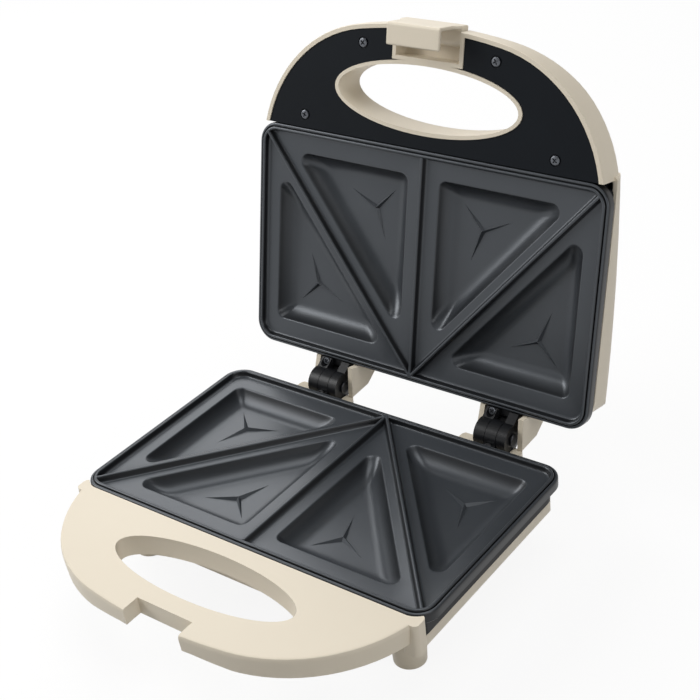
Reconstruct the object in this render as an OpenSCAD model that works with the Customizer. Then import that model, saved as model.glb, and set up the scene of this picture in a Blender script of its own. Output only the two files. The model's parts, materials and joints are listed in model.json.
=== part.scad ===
// Sandwich toaster with a hinged lid, drawn open. Two non-stick plates with triangular pockets
// close on each other; a swinging clip on the lid hooks under the lower handle.
// Working frame of the modules: X right, Y back from the plates' front rim, Z up from the
// plane where the two rims meet. Lid pieces are drawn closed and then swung open.

/* [Cooking plates] */
// Width of a plate between its rim crests
plate_w = 220; // [200:1:240]
// Depth of a plate between its rim crests
plate_d = 128.5; // [118:0.5:145]
// Corner radius of the rim crest
plate_corner_r = 9; // [7:0.5:12]
// Height of rim and ridges above the land between the pockets
rim_h = 3.5; // [2.8:0.1:4]
// Wall thickness of the cast plate
plate_t = 2; // [1.8:0.1:2.4]
// Width of the rounded rim crest
bead_w = 2; // [1.6:0.1:2.4]
// Width of the flange outside the crest
flange_w = 2.1; // [1.8:0.1:3]
// Depth of the plate's outer skirt below the crest
skirt_drop = 6.8; // [6:0.1:8]
// Depth of a pocket below the land
pocket_depth = 9; // [8:0.5:10]
// Land between a pocket and the front or rear rim crest
pocket_rim_gap = 12.5; // [11.5:0.1:14]
// Land between a pocket and the centre ridge's middle or the side rim crest
pocket_side_gap = 11; // [9.5:0.1:13]
// Land between a pocket and a diagonal ridge's middle
pocket_diag_gap = 8.6; // [7:0.1:10]
// Corner radius of a pocket at the land
pocket_r = 7; // [6:0.1:8]
// Sideways run of a pocket's sloped wall
pocket_run = 5; // [4.4:0.1:6]
// Width of a ridge where it leaves the land
ridge_w = 5; // [4:0.1:6]
// Width of a ridge's flat top
ridge_top_w = 1.6; // [1.2:0.1:2.4]
// Distance of a star's middle from the two short sides of its pocket
star_off = 25; // [22:0.5:28]
// Height of the three-armed star on a pocket's floor
star_h = 1.8; // [1:0.1:3]
// Width of a star's arm at the middle
star_w = 3.4; // [2:0.1:5]
// Length of a star's arm
star_arm = 16; // [10:0.5:18]

/* [Housings] */
// Wall thickness of the cream housings
wall = 2.2; // [1.8:0.1:2.6]
// How far the housing walls stand in from the rim crest
wall_inset = 0.7; // [0.5:0.1:1.2]
// Height of the black band between the lower plate's skirt and the tub
lower_band = 8.5; // [7:0.1:10]
// Height of the black band between the upper plate's skirt and the lid
upper_band = 5.4; // [4:0.1:7]
// Wall thickness of the black frames
frame_t = 2.5; // [2:0.1:3]
// Distance of the tub's underside below the plates' meeting plane, at the front
tub_front_drop = 25.6; // [25.4:0.1:28]
// The same at the rear
tub_rear_drop = 28; // [27:0.1:32]
// Radius of the tub's lower side edges
tub_edge_r = 6; // [4:0.5:8]
// Radius of the tub's front corners
tub_corner_r = 7; // [5:0.5:8]
// Radius of the housings' rear corners
body_corner_r = 10; // [8:0.5:14]
// Height of the lid's side wall, at the rear, before its shoulder starts
lid_wall_h = 9.3; // [8.5:0.1:12]
// Fall of the lid's top from its rear to its front
lid_fall = 10.8; // [9:0.1:12]
// Radius of the lid's rear and side shoulders
shoulder_r = 22; // [18:0.5:24]
// Distance of the worktop below the plates' meeting plane
foot_drop = 50.6; // [46:0.1:60]
// Radius of a leg at its bottom
leg_r = 8.6; // [7:0.1:9]
// How much wider a leg is at its top
leg_flare = 1.2; // [0.5:0.1:2]
// Distance of the front legs' middles in from the side rim crest
leg_front_in = 22; // [18:0.5:26]
// Distance of the front legs behind the front rim
leg_front_y = 15.5; // [14:0.5:22]
// Radius of the rubber pad in a leg's end
pad_r = 5.4; // [4.5:0.1:6]

/* [Handles] */
// Reach of the handles in front of the front rim
handle_reach = 69.5; // [66:0.5:76]
// How far the handles stand out to the side of the rim crest
handle_side = 0.5; // [0:0.1:1.5]
// Radius of the handles' front edge
handle_front_r = 270; // [220:5:400]
// Radius of the handles' corners
handle_corner_r = 79; // [74:1:82]
// Drop of the lower handle's top below the plates' meeting plane
handle_drop = 1.2; // [1:0.1:2]
// Height of the lower handle's skirt
handle_skirt = 12.2; // [11:0.1:13]
// Height of that skirt beside the latch's notch
notch_skirt = 10; // [9:0.1:10.8]
// Thickness of the lid's handle above the plates' meeting plane
lid_handle_t = 20.5; // [18:0.5:22]
// Fall of the lid handle's top towards its front edge
lid_handle_fall = 8.2; // [6:0.1:9]
// Half width of the finger opening
oval_a = 57.5; // [54:0.5:60]
// Half depth of the finger opening
oval_b = 17.5; // [15:0.5:18]
// Distance of the finger opening's middle in front of the front rim
oval_y = 30.8; // [30:0.1:32]
// Rounding of the handles' edges
edge_r = 1.6; // [1:0.1:2]

/* [Lid cover] */
// Thickness of the black lid cover
cover_t = 2; // [1.6:0.1:2.4]
// Distance of the cover's face behind the plates' meeting plane
cover_back = 0.8; // [0.5:0.1:1.2]
// Width of the cream edge left round the cover
cover_margin = 2.6; // [2.2:0.1:3.5]
// Gap round a piece that is fitted into another
fit_gap = 0.2; // [0.1:0.05:0.3]
// Sideways place of the front cover screws
screw_front_x = 41.9; // [38:0.1:46]
// Distance of the front cover screws in front of the front rim
screw_front_y = 56; // [55.5:0.1:57]
// Sideways place of the rear cover screws
screw_rear_x = 80.6; // [76:0.1:86]
// Distance of the rear cover screws in front of the front rim
screw_rear_y = 11; // [10.5:0.1:13]
// Radius of a screw's head
head_r = 3; // [2.6:0.1:3.2]
// Radius of a screw's shank
screw_r = 1.4; // [1.2:0.1:1.6]

/* [Hinges] */
// Opening angle of the lid at its stop
lid_open = 102.6; // [95:0.1:104]
// Distance of the hinge axis behind the rear rim
axis_back = 16.8; // [16.5:0.1:19]
// Drop of the hinge axis below the plates' meeting plane
axis_drop = 3.5; // [3:0.1:4.5]
// Sideways place of the two hinges from the middle of the pair
hinge_x = 57.5; // [54:0.5:62]
// How far the pair of hinges stands to the right
hinge_shift = 4.5; // [0:0.5:5]
// Radius of the hinge knuckles
knuckle_r = 8.4; // [7.5:0.1:8.6]
// Half width of a hinge barrel
barrel_half_w = 10; // [9.5:0.1:11]
// Width of the upper arm's left knuckle
knuckle_a = 6.8; // [6:0.1:7.4]
// Width of the upper arm's right knuckle
knuckle_c = 5.6; // [5:0.1:6.4]
// Gap between neighbouring knuckles
knuckle_gap = 0.3; // [0.3:0.05:0.5]
// Radius of the hinge pins
pin_r = 2.2; // [1.8:0.1:2.6]
// Running clearance of a pin in a turning bore
pin_gap = 0.06; // [0.03:0.01:0.1]
// Half width of a hinge hood on the lid
hood_half_w = 16; // [15.5:0.1:18]
// Thickness of a hood's cheeks
cheek_t = 3; // [2.6:0.1:3.4]
// Gap between the two plates' rims when the lid is shut
rim_gap = 0.3; // [0.2:0.05:0.6]

/* [Latch] */
// Half width of the latch's hook
hook_half_w = 16.5; // [14:0.1:17]
// Gap beside the hook in the lower handle's notch
notch_gap = 1.4; // [1:0.1:2]
// Half width of the latch pocket in the lid
latch_pocket_half_w = 20; // [19.5:0.1:20.6]
// Distance of the latch pin in front of the front rim
latch_pin_y = 63; // [62.6:0.1:63.4]
// Height of the latch pin above the plates' meeting plane
latch_pin_z = 5.4; // [5.2:0.1:6]
// Radius of the latch pin
latch_pin_r = 1.5; // [1.2:0.1:1.8]
// Swing of the latch from its hanging place to its hooked place
latch_swing_in = 12; // [10:0.5:12]
// Thickness of the latch's wall
latch_t = 2; // [1.6:0.1:2.2]

/* [Heating] */
// Radius of the tubular heaters
heater_r = 3; // [2.6:0.1:3.1]
// Half width of the heater's loop
heater_x = 74; // [70:0.5:78]
// Distance of the heater's loop behind the front rim
heater_front_y = 24; // [22:0.5:28]
// Distance of the heater's loop in front of the rear rim
heater_rear_y = 24.5; // [22:0.5:28]
// Bend radius of the heater's loop
heater_bend = 16; // [12:0.5:20]
// Sheet thickness of the reflectors
sheet_t = 0.6; // [0.4:0.1:0.8]
// Radius of the signal lamp lenses
lens_r = 4; // [3.5:0.1:5]
// Sideways place of a lamp lens
lens_x = 12; // [10:0.5:16]

/* [Hidden] */
$fn = 48;
cream = "#E6DDCB";
black = "#1C1F24";
grey = "#4B4E52";
steel = "#B9BCC0";
white = "#EDEBE4";
tiny = 0.02;
big = 400;

flange_o = bead_w / 2 + flange_w;            // outer edge of the plate's flange, from the crest
skirt_t = 1.5;                               // thickness of the plate's outer skirt
land_z = -rim_h;                             // land between the pockets
plate_under_z = land_z - plate_t;            // underside of the land
pocket_z = land_z - pocket_depth;            // floor of a pocket
pocket_under_z = pocket_z - plate_t;         // lowest point of the plate
frame_z = -skirt_drop - lower_band;          // lower edge of the lower black band
lid_z = skirt_drop + upper_band;             // lower edge of the lid's side walls
body_x = plate_w / 2 - wall_inset;           // half width of the housings
body_y = plate_d - wall_inset;               // rear wall of the housings
handle_end_y = -(flange_o + 0.4);            // rear end of the handles, clear of the plate's skirt
front_wall_y = handle_end_y - wall;          // front face of the tub and the lid
handle_z = -handle_drop;                     // top of the lower handle
handle_half_w = plate_w / 2 + handle_side;   // half width of the handles
handle_under_z = handle_z - handle_skirt;    // lower edge of the lower handle's skirt
notch_under_z = handle_z - notch_skirt;      // the same beside the notch
axis_y = plate_d + axis_back;                // hinge axis
axis_z = -axis_drop;
lid_shoulder_z = lid_z + lid_wall_h;         // where the lid's shoulder starts
lid_top_z = lid_shoulder_z + shoulder_r;     // top of the lid
crown_y = plate_d - 10;                      // highest line of the lid
lens_y = 40;                                 // distance of the lamps behind the front rim
heater_z = pocket_under_z - heater_r - 0.05; // middle of the heater's tube
clamp_t = 0.6;                               // strap of a heater clamp
tray_z = heater_z - heater_r - clamp_t - 0.1 - sheet_t;  // underside of a reflector's floor
tray_in = wall + 2.6;                        // reflector's walls, in from the housing
ledge_in = frame_t + 4;                      // inner edge of the black frames' ledge
hinges = [hinge_shift - hinge_x, hinge_shift + hinge_x];
hinge_block_top = axis_z - knuckle_r - 3.4;  // seat of the lower hinge arm
block_rim_z = axis_z - 6.1;                  // top of the block beside the knuckles
block_left = barrel_half_w + 12.5;           // reach of a lower hinge block to the left and right
block_right = barrel_half_w + 6.5;
hinge_foot_t = 2.6;                          // thickness of the lower arm's foot
hinge_block_y = axis_y + 2.5;                // rear face of the lower hinge block
yoke_y = plate_d + flange_o + 0.5;           // front face of the upper arm's yoke
yoke_back = 9.2;                             // yoke's rear face, in front of the axis
yoke_z = 1.6;                                // yoke's underside
yoke_top = 6.2;                              // yoke's top, where the lid rests on it
stop_r = knuckle_r + 4.4;                    // reach of the lower arm's stop
stop_gap = 0.3;
hook_tip_y = -latch_pin_y + 3.6;             // inward end of the hanging hook
notch_y = hook_tip_y + 0.9;                  // inner face of the lower handle's notch
latch_y = -handle_reach - latch_t;           // front face of the latch
hook_top_z = notch_under_z - 1.5;            // top of the hook's toe
pocket_back_y = -oval_y - oval_b - 1.7 * wall;  // inner face of the latch pocket
pocket_top_z = latch_pin_z + 5;              // ceiling of the latch pocket

// Height and slope of the lid's crowned top along its middle
function crown(y) = lid_top_z - lid_fall * pow(1 - y / crown_y, 2);
function crown_slope(y) = atan(2 * lid_fall / crown_y * (1 - y / crown_y));

// Radius of the front shoulder that meets the crown smoothly at y, and the place where it does
function shoulder_at(y) = (crown(y) - lid_handle_t) / cos(crown_slope(y));
function meet(y, n) = n == 0 ? y : meet(front_wall_y + shoulder_at(y) * (1 - sin(crown_slope(y))), n - 1);
front_meet_y = meet(front_wall_y + 11, 8);
front_shoulder_r = shoulder_at(front_meet_y);

// The origin of the part lies on the resting plane, half way along the open toaster
rear_reach = front_shoulder_r + sin(lid_open) * (lid_handle_t + rim_gap - axis_z)
    + cos(lid_open) * (front_wall_y + front_shoulder_r - axis_y);
notch_half_w = hook_half_w + notch_gap;
front_reach = handle_reach - handle_front_r + sqrt(pow(handle_front_r, 2) - pow(notch_half_w, 2));
mid_y = (axis_y + rear_reach - front_reach) / 2;

// ---------------------------------------------------------------- placing
module seat() { translate([0, -mid_y, foot_drop]) children(); }

module lid_seat() {
    seat() translate([0, axis_y, axis_z]) rotate([-lid_open, 0, 0]) translate([0, -axis_y, -axis_z])
        translate([0, 0, rim_gap]) children();
}

module lid_seat_flipped() { lid_seat() mirror([0, 0, 1]) children(); }

module both_sides() { children(); mirror([1, 0, 0]) children(); }

module slab(z0, z1) { translate([0, 0, z0]) linear_extrude(z1 - z0) children(); }

// Extrudes a (y, z) profile along X, or an (x, z) profile along Y
module along_x(x0, x1) { translate([x0, 0, 0]) rotate([90, 0, 90]) linear_extrude(x1 - x0) children(); }
module along_y(y0, y1) { translate([0, y1, 0]) rotate([90, 0, 0]) linear_extrude(y1 - y0) children(); }

module rod_x(r, x0, x1) { translate([x0, 0, 0]) rotate([0, 90, 0]) cylinder(r = r, h = x1 - x0); }

// ---------------------------------------------------------------- outlines
function arc(c, r, a0, a1, n) = [for (i = [0:n]) let (a = a0 + (a1 - a0) * i / n)
    [c[0] + r * cos(a), c[1] + r * sin(a)]];

// Rounded rectangle between two corners
function round_rect(x0, x1, y0, y1, r, n = 6) = concat(
    arc([x1 - r, y0 + r], r, -90, 0, n), arc([x1 - r, y1 - r], r, 0, 90, n),
    arc([x0 + r, y1 - r], r, 90, 180, n), arc([x0 + r, y0 + r], r, 180, 270, n));

// Rectangle of the housings with rounded rear corners and front ones of radius f, moved in by inset
function body_outline(inset, y0, f = 3) = let (r = body_corner_r - inset, x = body_x - inset) concat(
    arc([x - f, y0 + f], f, -90, 0, 3), arc([x - r, body_y - inset - r], r, 0, 90, 6),
    arc([-x + r, body_y - inset - r], r, 90, 180, 6), arc([-x + f, y0 + f], f, 180, 270, 3));

// Handle outline: two corner arcs joined tangentially by the front arc, cut off at y_end
function corner_c() = let (cx = handle_half_w - handle_corner_r, u = handle_front_r - handle_corner_r)
    [cx, handle_front_r - handle_reach - sqrt(u * u - cx * cx)];
function handle_outline(inset, y_end) = let (
    c = corner_c(), r = handle_corner_r - inset, fc = [0, handle_front_r - handle_reach],
    a0 = asin(min(1, (y_end - c[1]) / r)), a1 = atan2(c[1] - fc[1], c[0])) concat(
    [[c[0] + r * cos(a0), y_end]], arc(c, r, a0, a1, 16), arc(fc, handle_front_r - inset, a1, -180 - a1, 10),
    arc([-c[0], c[1]], r, -180 - a1, -180 - a0, 16));

// The same outline for a solid of rings: no point twice, as many points left as right
function handle_ring(inset, y_end) = let (
    c = corner_c(), r = handle_corner_r - inset, fc = [0, handle_front_r - handle_reach],
    a0 = asin((y_end - c[1]) / r), a1 = atan2(c[1] - fc[1], c[0]), step = (-180 - 2 * a1) / 10) concat(
    arc(c, r, a0, a1, 16), arc(fc, handle_front_r - inset, a1 + step, -180 - a1 - step, 8),
    arc([-c[0], c[1]], r, -180 - a1, -180 - a0, 16));

function oval(grow) = [for (i = [0:59]) [(oval_a + grow) * cos(6 * i), (oval_b + grow) * sin(6
    * i) - oval_y]];

// ---------------------------------------------------------------- plates
// Sweeps a profile (offset from the crest line, height) round the rounded rectangle of the crest
module round_rim() {
    r = plate_corner_r;
    w = plate_w / 2 - r;
    d = plate_d / 2 - r;
    translate([0, plate_d / 2, 0]) for (k = [0:3]) {
        ex = (k % 2 == 0) ? w : d;
        ey = (k % 2 == 0) ? d : w;
        rotate([0, 0, 90 * k]) {
            translate([ex, ey, 0]) rotate_extrude(angle = 90) translate([r, 0]) children();
            translate([ex + r, ey, 0]) rotate([90, 0, 0]) linear_extrude(2 * ey) children();
        }
    }
}

// Rim section: bead on the crest line, a fine groove, the flange and the skirt
module rim_section() {
    b = bead_w / 2;
    g = 0.6;
    lip = 1;
    polygon(concat(
        [[-plate_corner_r / 2, plate_under_z], [-plate_corner_r / 2, land_z], [-b - 1.6, land_z],
         [-b - 0.7, land_z + 0.4], [-b, -b - 0.1]],
        arc([0, -b], b, 175, 5, 8),
        [[b + 0.1, -1.9], [b + g, -1.9], [b + g, -0.9]],
        arc([flange_o - lip, -0.8 - lip], lip, 90, 0, 4),
        [[flange_o, -skirt_drop], [flange_o - skirt_t, -skirt_drop], [flange_o - skirt_t, plate_under_z]]));
}

diag = sqrt(pow(plate_d, 2) + pow(plate_w / 2, 2));
nx = plate_d / diag;                         // outward normal of a pocket's long side
ny = plate_w / 2 / diag;
// Distance of a pocket's long side from its right-angled corner
pocket_c = (plate_d * plate_w / 2 - plate_d * pocket_side_gap - plate_w / 2 * pocket_rim_gap) / diag
    - pocket_diag_gap;

// Centres of the rounded corners of a right triangle whose sides are moved in by m
function tri(m) = [[m, m], [(pocket_c - m - ny * m) / nx, m], [m, (pocket_c - m - nx * m) / ny]];

module tri_layer(z, inset, r) {
    for (p = tri(inset + r)) translate([p[0], p[1], z]) cylinder(r = r, h = tiny);
}

module pocket() {
    fillet = 2.4;                            // height of the fillet between wall and floor
    r = pocket_r - pocket_run / 2;
    hull() {
        $fn = 32;
        tri_layer(tiny, 0, pocket_r);
        tri_layer(-pocket_depth + fillet, pocket_run - 1.4, r);
        tri_layer(-pocket_depth + fillet * 0.3, pocket_run - 0.2, r - 0.8);
        tri_layer(-pocket_depth, pocket_run + 1.4, r - 1.6);
    }
}

// Three-armed star: each arm is a roof that falls from the middle to its tip
module star() {
    m = [star_off, star_off];
    for (p = tri(pocket_r)) {
        u = (p - m) / norm(p - m);
        v = [-u[1], u[0]] * star_w / 2;
        back = m - u * star_w / 2;
        tip = m + u * star_arm;
        low = -pocket_depth - plate_t / 2;
        polyhedron(
            points = [[back[0], back[1], low], [m[0] - v[0], m[1] - v[1], low], [tip[0], tip[1], low],
                [m[0] + v[0], m[1] + v[1], low], [back[0], back[1], -pocket_depth],
                [m[0] - v[0], m[1] - v[1], -pocket_depth], [tip[0], tip[1], -pocket_depth],
                [m[0] + v[0], m[1] + v[1], -pocket_depth], [m[0], m[1], star_h - pocket_depth]],
            faces = [[0, 1, 2, 3], [4, 5, 1, 0], [5, 6, 2, 1], [6, 7, 3, 2], [7, 4, 0, 3],
                [5, 4, 8], [6, 5, 8], [7, 6, 8], [4, 7, 8]]);
    }
}

// The two front pockets and the two rear pockets
module pocket_places() {
    both_sides() {
        translate([pocket_side_gap, pocket_rim_gap, land_z]) children();
        translate([plate_w / 2 - pocket_side_gap, plate_d - pocket_rim_gap, land_z])
            rotate([0, 0, 180]) children();
    }
}

module pocket_shell() {
    a = atan2(ny, nx);
    turns = [[180, 270], [-90, a], [a, 180]];
    translate([0, 0, -pocket_depth - plate_t]) linear_extrude(pocket_depth + plate_t / 2)
        polygon([for (k = [0:2]) each arc(tri(pocket_r)[k], pocket_r + 0.6, turns[k][0], turns[k][1], 5)]);
}

module ridge(p, q) {
    v = q - p;
    w = ridge_w / 2;
    t = ridge_top_w / 2;
    translate([p[0], p[1], 0]) rotate([90, 0, atan2(v[1], v[0]) + 90]) linear_extrude(norm(v))
        polygon([[-w, land_z - plate_t / 2], [w, land_z - plate_t / 2], [w, land_z],
            [w - 0.7, land_z + 0.5], [t + 0.2, -0.5], [t - 0.3, 0], [-t + 0.3, 0], [-t - 0.2, -0.5],
            [-w + 0.7, land_z + 0.5], [-w, land_z]]);
}

stud_r = 3.4;
studs = [for (s = [-1, 1]) each [[s * 30, pocket_rim_gap / 2 + 0.6], [s * 50,
    plate_d - pocket_rim_gap / 2 - 0.4]]];

module plate() {
    e = plate_corner_r / 2 - 1;
    rear_mid = [0, plate_d];
    front = plate_corner_r * 0.3;
    difference() {
        union() {
            round_rim() rim_section();
            slab(plate_under_z, land_z) polygon(round_rect(-plate_w / 2 + e, plate_w / 2 - e, e,
                plate_d - e, plate_corner_r - e));
            pocket_places() pocket_shell();
            for (p = studs) translate([p[0], p[1], pocket_under_z])
                cylinder(r = stud_r, h = plate_under_z - pocket_under_z + 1);
        }
        pocket_places() pocket();
        for (p = studs) translate([p[0], p[1], pocket_under_z - 1]) cylinder(r = screw_r, h = 9);
    }
    for (s = [-1, 1]) ridge(rear_mid, [s * (plate_w / 2 - front), front]);
    ridge([0, 0], rear_mid);
    pocket_places() star();
}

module lower_plate() { color(grey) seat() plate(); }
module upper_plate() { color(grey) lid_seat_flipped() plate(); }

// ---------------------------------------------------------------- heating
// Tubular heater: a rounded loop under the pockets, its two ends turned to the rear
heater_rear = plate_d - heater_rear_y;
heater_end_x = 14;

module bend(x, y, a0) {
    translate([x, y, 0]) rotate([0, 0, a0]) rotate_extrude(angle = 90) translate([heater_bend, 0])
        circle(r = heater_r);
}

module heater() {
    b = heater_bend;
    end_x = heater_end_x + b - 4;
    translate([0, 0, heater_z]) {
        translate([0, heater_front_y, 0]) rod_x(heater_r, -heater_x + b, heater_x - b);
        both_sides() {
            bend(heater_x - b, heater_front_y + b, -90);
            translate([heater_x, heater_front_y + b, 0]) rotate([-90, 0, 0])
                cylinder(r = heater_r, h = heater_rear - heater_front_y - 2 * b);
            bend(heater_x - b, heater_rear - b, 0);
            translate([0, heater_rear, 0]) rod_x(heater_r, end_x, heater_x - b);
            translate([end_x, heater_rear, 0]) sphere(r = heater_r);
        }
    }
}

// Ceramic end caps with their terminal blades
module heater_ends() {
    translate([0, heater_rear, heater_z]) both_sides() {
        rod_x(heater_r + 0.6, heater_end_x + 3, heater_end_x + heater_bend - 4 - heater_r - 0.1);
        translate([heater_end_x - 5, -0.4, -2.4]) cube([9, 0.8, 4.8]);
    }
}

// Steel straps that hold the heater up against the pockets
module heater_clamps() {
    w = 8;
    gap = 0.1;
    side = heater_r + gap;
    for (x = [-44, 44]) translate([x, heater_front_y, heater_z]) along_x(-w / 2, w / 2) difference() {
        translate([-side - clamp_t, -heater_r - gap - clamp_t])
            square([2 * (side + clamp_t), 2 * heater_r + gap + clamp_t]);
        translate([-side, -heater_r - gap]) square([2 * side, 2 * heater_r + 1]);
    }
}

// Sheet-metal tray that throws the heat back to the plate; its rim presses on the frame's ledge
module reflector(ledge_z) {
    x = body_x - tray_in;
    y0 = frame_t + 0.1;
    y1 = body_y - tray_in;
    r = body_corner_r - tray_in;
    lip = 2.6;
    difference() {
        slab(tray_z, ledge_z) polygon(round_rect(-x, x, y0, y1, r));
        slab(tray_z + sheet_t, ledge_z - sheet_t) polygon(round_rect(-x + sheet_t, x - sheet_t,
            y0 + sheet_t, y1 - sheet_t, r - sheet_t));
        slab(tray_z + sheet_t, ledge_z + 1) polygon(round_rect(-x + lip, x - lip, y0 + lip, y1 - lip, r));
        for (p = studs) translate([p[0], p[1], 0]) {
            slab(tray_z - 1, tray_z + 2) circle(r = screw_r + 0.3);
            slab(tray_z + sheet_t, ledge_z + 1) circle(r = stud_r + 0.2);
        }
    }
}

// Screws through the reflector, with a spacing sleeve, into the plate's studs
module plate_screws() {
    for (p = studs) translate([p[0], p[1], 0]) {
        slab(tray_z - 1.2, tray_z) circle(r = head_r);
        slab(tray_z - 0.1, pocket_under_z + 5) circle(r = screw_r);
        slab(tray_z + sheet_t, pocket_under_z) circle(r = stud_r);
    }
}

module lower_heater() { color(steel) seat() heater(); }
module upper_heater() { color(steel) lid_seat_flipped() heater(); }
module lower_heater_ends() { color(white) seat() heater_ends(); }
module upper_heater_ends() { color(white) lid_seat_flipped() heater_ends(); }
module lower_heater_clamps() { color(steel) seat() heater_clamps(); }
module upper_heater_clamps() { color(steel) lid_seat_flipped() heater_clamps(); }
module lower_reflector() { color(steel) seat() reflector(frame_z); }
module upper_reflector() { color(steel) lid_seat_flipped() reflector(-lid_z); }
module lower_plate_screws() { color(steel) seat() plate_screws(); }
module upper_plate_screws() { color(steel) lid_seat_flipped() plate_screws(); }

// Disc thermostat against the land at the rear middle
disc_r = 8;
disc_h = 6;
blade_h = 7;
module thermostat() {
    z = plate_under_z - 0.05;
    color(white) seat() translate([0, plate_d - disc_r - 9, 0]) {
        slab(z - disc_h, z) circle(r = disc_r);
        slab(z - 2, z) circle(r = disc_r + 0.8);
        for (s = [-1, 1]) translate([s * disc_r / 2 - 0.4, -3, z - disc_h - blade_h]) cube([0.8, 6,
            blade_h + 1]);
    }
}

// Thermal fuse in its clip, along the land between the front pockets
fuse_r = 2.2;
fuse_l = 13;
fuse_lead = 7;
fuse_y = 44;
module thermal_fuse() {
    color(steel) seat() translate([0, fuse_y, plate_under_z - fuse_r - 0.1]) rotate([-90, 0, 0]) {
        cylinder(r = fuse_r, h = fuse_l);
        translate([0, 0, -fuse_lead]) cylinder(r = 0.7, h = fuse_l + 2 * fuse_lead);
    }
}

// ---------------------------------------------------------------- base
function tub_floor(y) = -tub_front_drop - (tub_rear_drop - tub_front_drop) * y / plate_d;

// Side and front profiles of the tub, moved in by inset
module tub_side(inset) {
    y0 = front_wall_y + inset;
    y1 = body_y - inset;
    c = 1.5;
    polygon([[y0, 10], [y0, tub_floor(y0) + inset + c], [y0 + c, tub_floor(y0 + c) + inset],
        [y1 - c, tub_floor(y1 - c) + inset], [y1, tub_floor(y1) + inset + c], [y1, 10]]);
}
module tub_front(inset) {
    x = body_x - inset;
    r = tub_edge_r - inset / 2;
    cz = tub_floor(0) + r + inset / 2;
    z = -tub_rear_drop - 6;
    polygon(concat([[x, 10], [-x, 10]], arc([-x + r, cz], r, 180, 225, 3),
        [[-x + 1.4 * r, z], [x - 1.4 * r, z]], arc([x - r, cz], r, -45, 0, 3)));
}
module tub(inset, top) {
    intersection() {
        slab(-foot_drop, top) polygon(body_outline(inset, front_wall_y + inset, tub_corner_r - inset));
        along_x(-big, big) tub_side(inset);
        along_y(-big, big) tub_front(inset);
    }
}

// Block under a hinge, hollow from below, rounded at its rear corners
function block_profile(inset, top) = [
    [body_y - 4, tub_floor(plate_d) + 3 - inset], [body_y - 4, frame_z - inset],
    [body_y, frame_z - inset], [body_y, -skirt_drop - 1.4 - inset], [body_y + 6, -skirt_drop - 1.8 - inset],
    [body_y + 9.5, top - inset], [hinge_block_y - inset - 1, top - inset], [hinge_block_y - inset,
        top - 1 - inset],
    [hinge_block_y - inset, tub_floor(plate_d) + 6], [hinge_block_y - 4 - inset,
        tub_floor(plate_d) + 3 - inset]];
module hinge_block(inset, top) {
    intersection() {
        along_x(-big, big) polygon(block_profile(inset, top));
        slab(-foot_drop, 0) polygon(round_rect(-block_left + inset, block_right - inset, body_y - 8,
            hinge_block_y - inset, 4 - inset / 2));
    }
}

// The rear legs stand under the hinges, with the lower hinge screws inside them
rear_leg_y = hinge_block_y - leg_r;
leg_front_x = plate_w / 2 - leg_front_in;
legs = concat([for (s = [-1, 1]) [s * leg_front_x, leg_front_y]], [for (x = hinges) [x, rear_leg_y]]);
pad_h = 2.4;
pad_proud = 0.4;
leg_core_r = pad_r - 1;
strip_w = 7.6;                               // width of the upper arm's strip that carries its screw
yoke_screw_x = strip_w / 2 - barrel_half_w;
yoke_step = 1.8;                             // how far the rest of the yoke stands back
screw_boss_h = 5;

module lower_handle() {
    y_end = handle_end_y;
    difference() {
        hull() {
            slab(handle_under_z, handle_under_z + tiny) polygon(handle_outline(0.8, y_end));
            slab(handle_z - 3, handle_z - edge_r) polygon(handle_outline(0, y_end));
            slab(handle_z - 0.3 * edge_r, handle_z - 0.3 * edge_r + tiny)
                polygon(handle_outline(0.3 * edge_r, y_end));
            slab(handle_z - tiny, handle_z) polygon(handle_outline(edge_r, y_end));
        }
        difference() {
            slab(handle_under_z - 1, handle_z - wall) polygon(handle_outline(wall + 0.8, front_wall_y));
            slab(handle_under_z - 2, 1) polygon(oval(wall));
            translate([-notch_half_w - wall, -big, -40])
                cube([2 * (notch_half_w + wall), big + notch_y + wall, 60]);
        }
        slab(handle_under_z - 2, 1) polygon(oval(0));
        translate([-notch_half_w, -big, -40]) cube([2 * notch_half_w, big + notch_y, 60]);
        along_y(-big, -oval_y - oval_b - wall) polygon([[-arch_x, handle_under_z - 5], [-arch_x,
            handle_under_z],
            [-arch_flat_x, notch_under_z], [arch_flat_x, notch_under_z], [arch_x, handle_under_z],
            [arch_x, handle_under_z - 5]]);
    }
}
arch_x = 46;                                 // the skirt is lower between here and the notch
arch_flat_x = 24;

// Corner columns that close the gap between the handle, the plate's rounded rim and the tub
column_in_x = plate_w / 2 - 8;
column_x = plate_w / 2 + 1.6;
module corner_columns() {
    both_sides() slab(5 - tub_front_drop, handle_z - 0.2) difference() {
        polygon(round_rect(column_in_x, column_x, handle_end_y - 5, wall_inset - 0.3, 2.6));
        translate([plate_w / 2 - plate_corner_r, plate_corner_r]) circle(r = plate_corner_r + flange_o + 0.4);
    }
}

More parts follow.
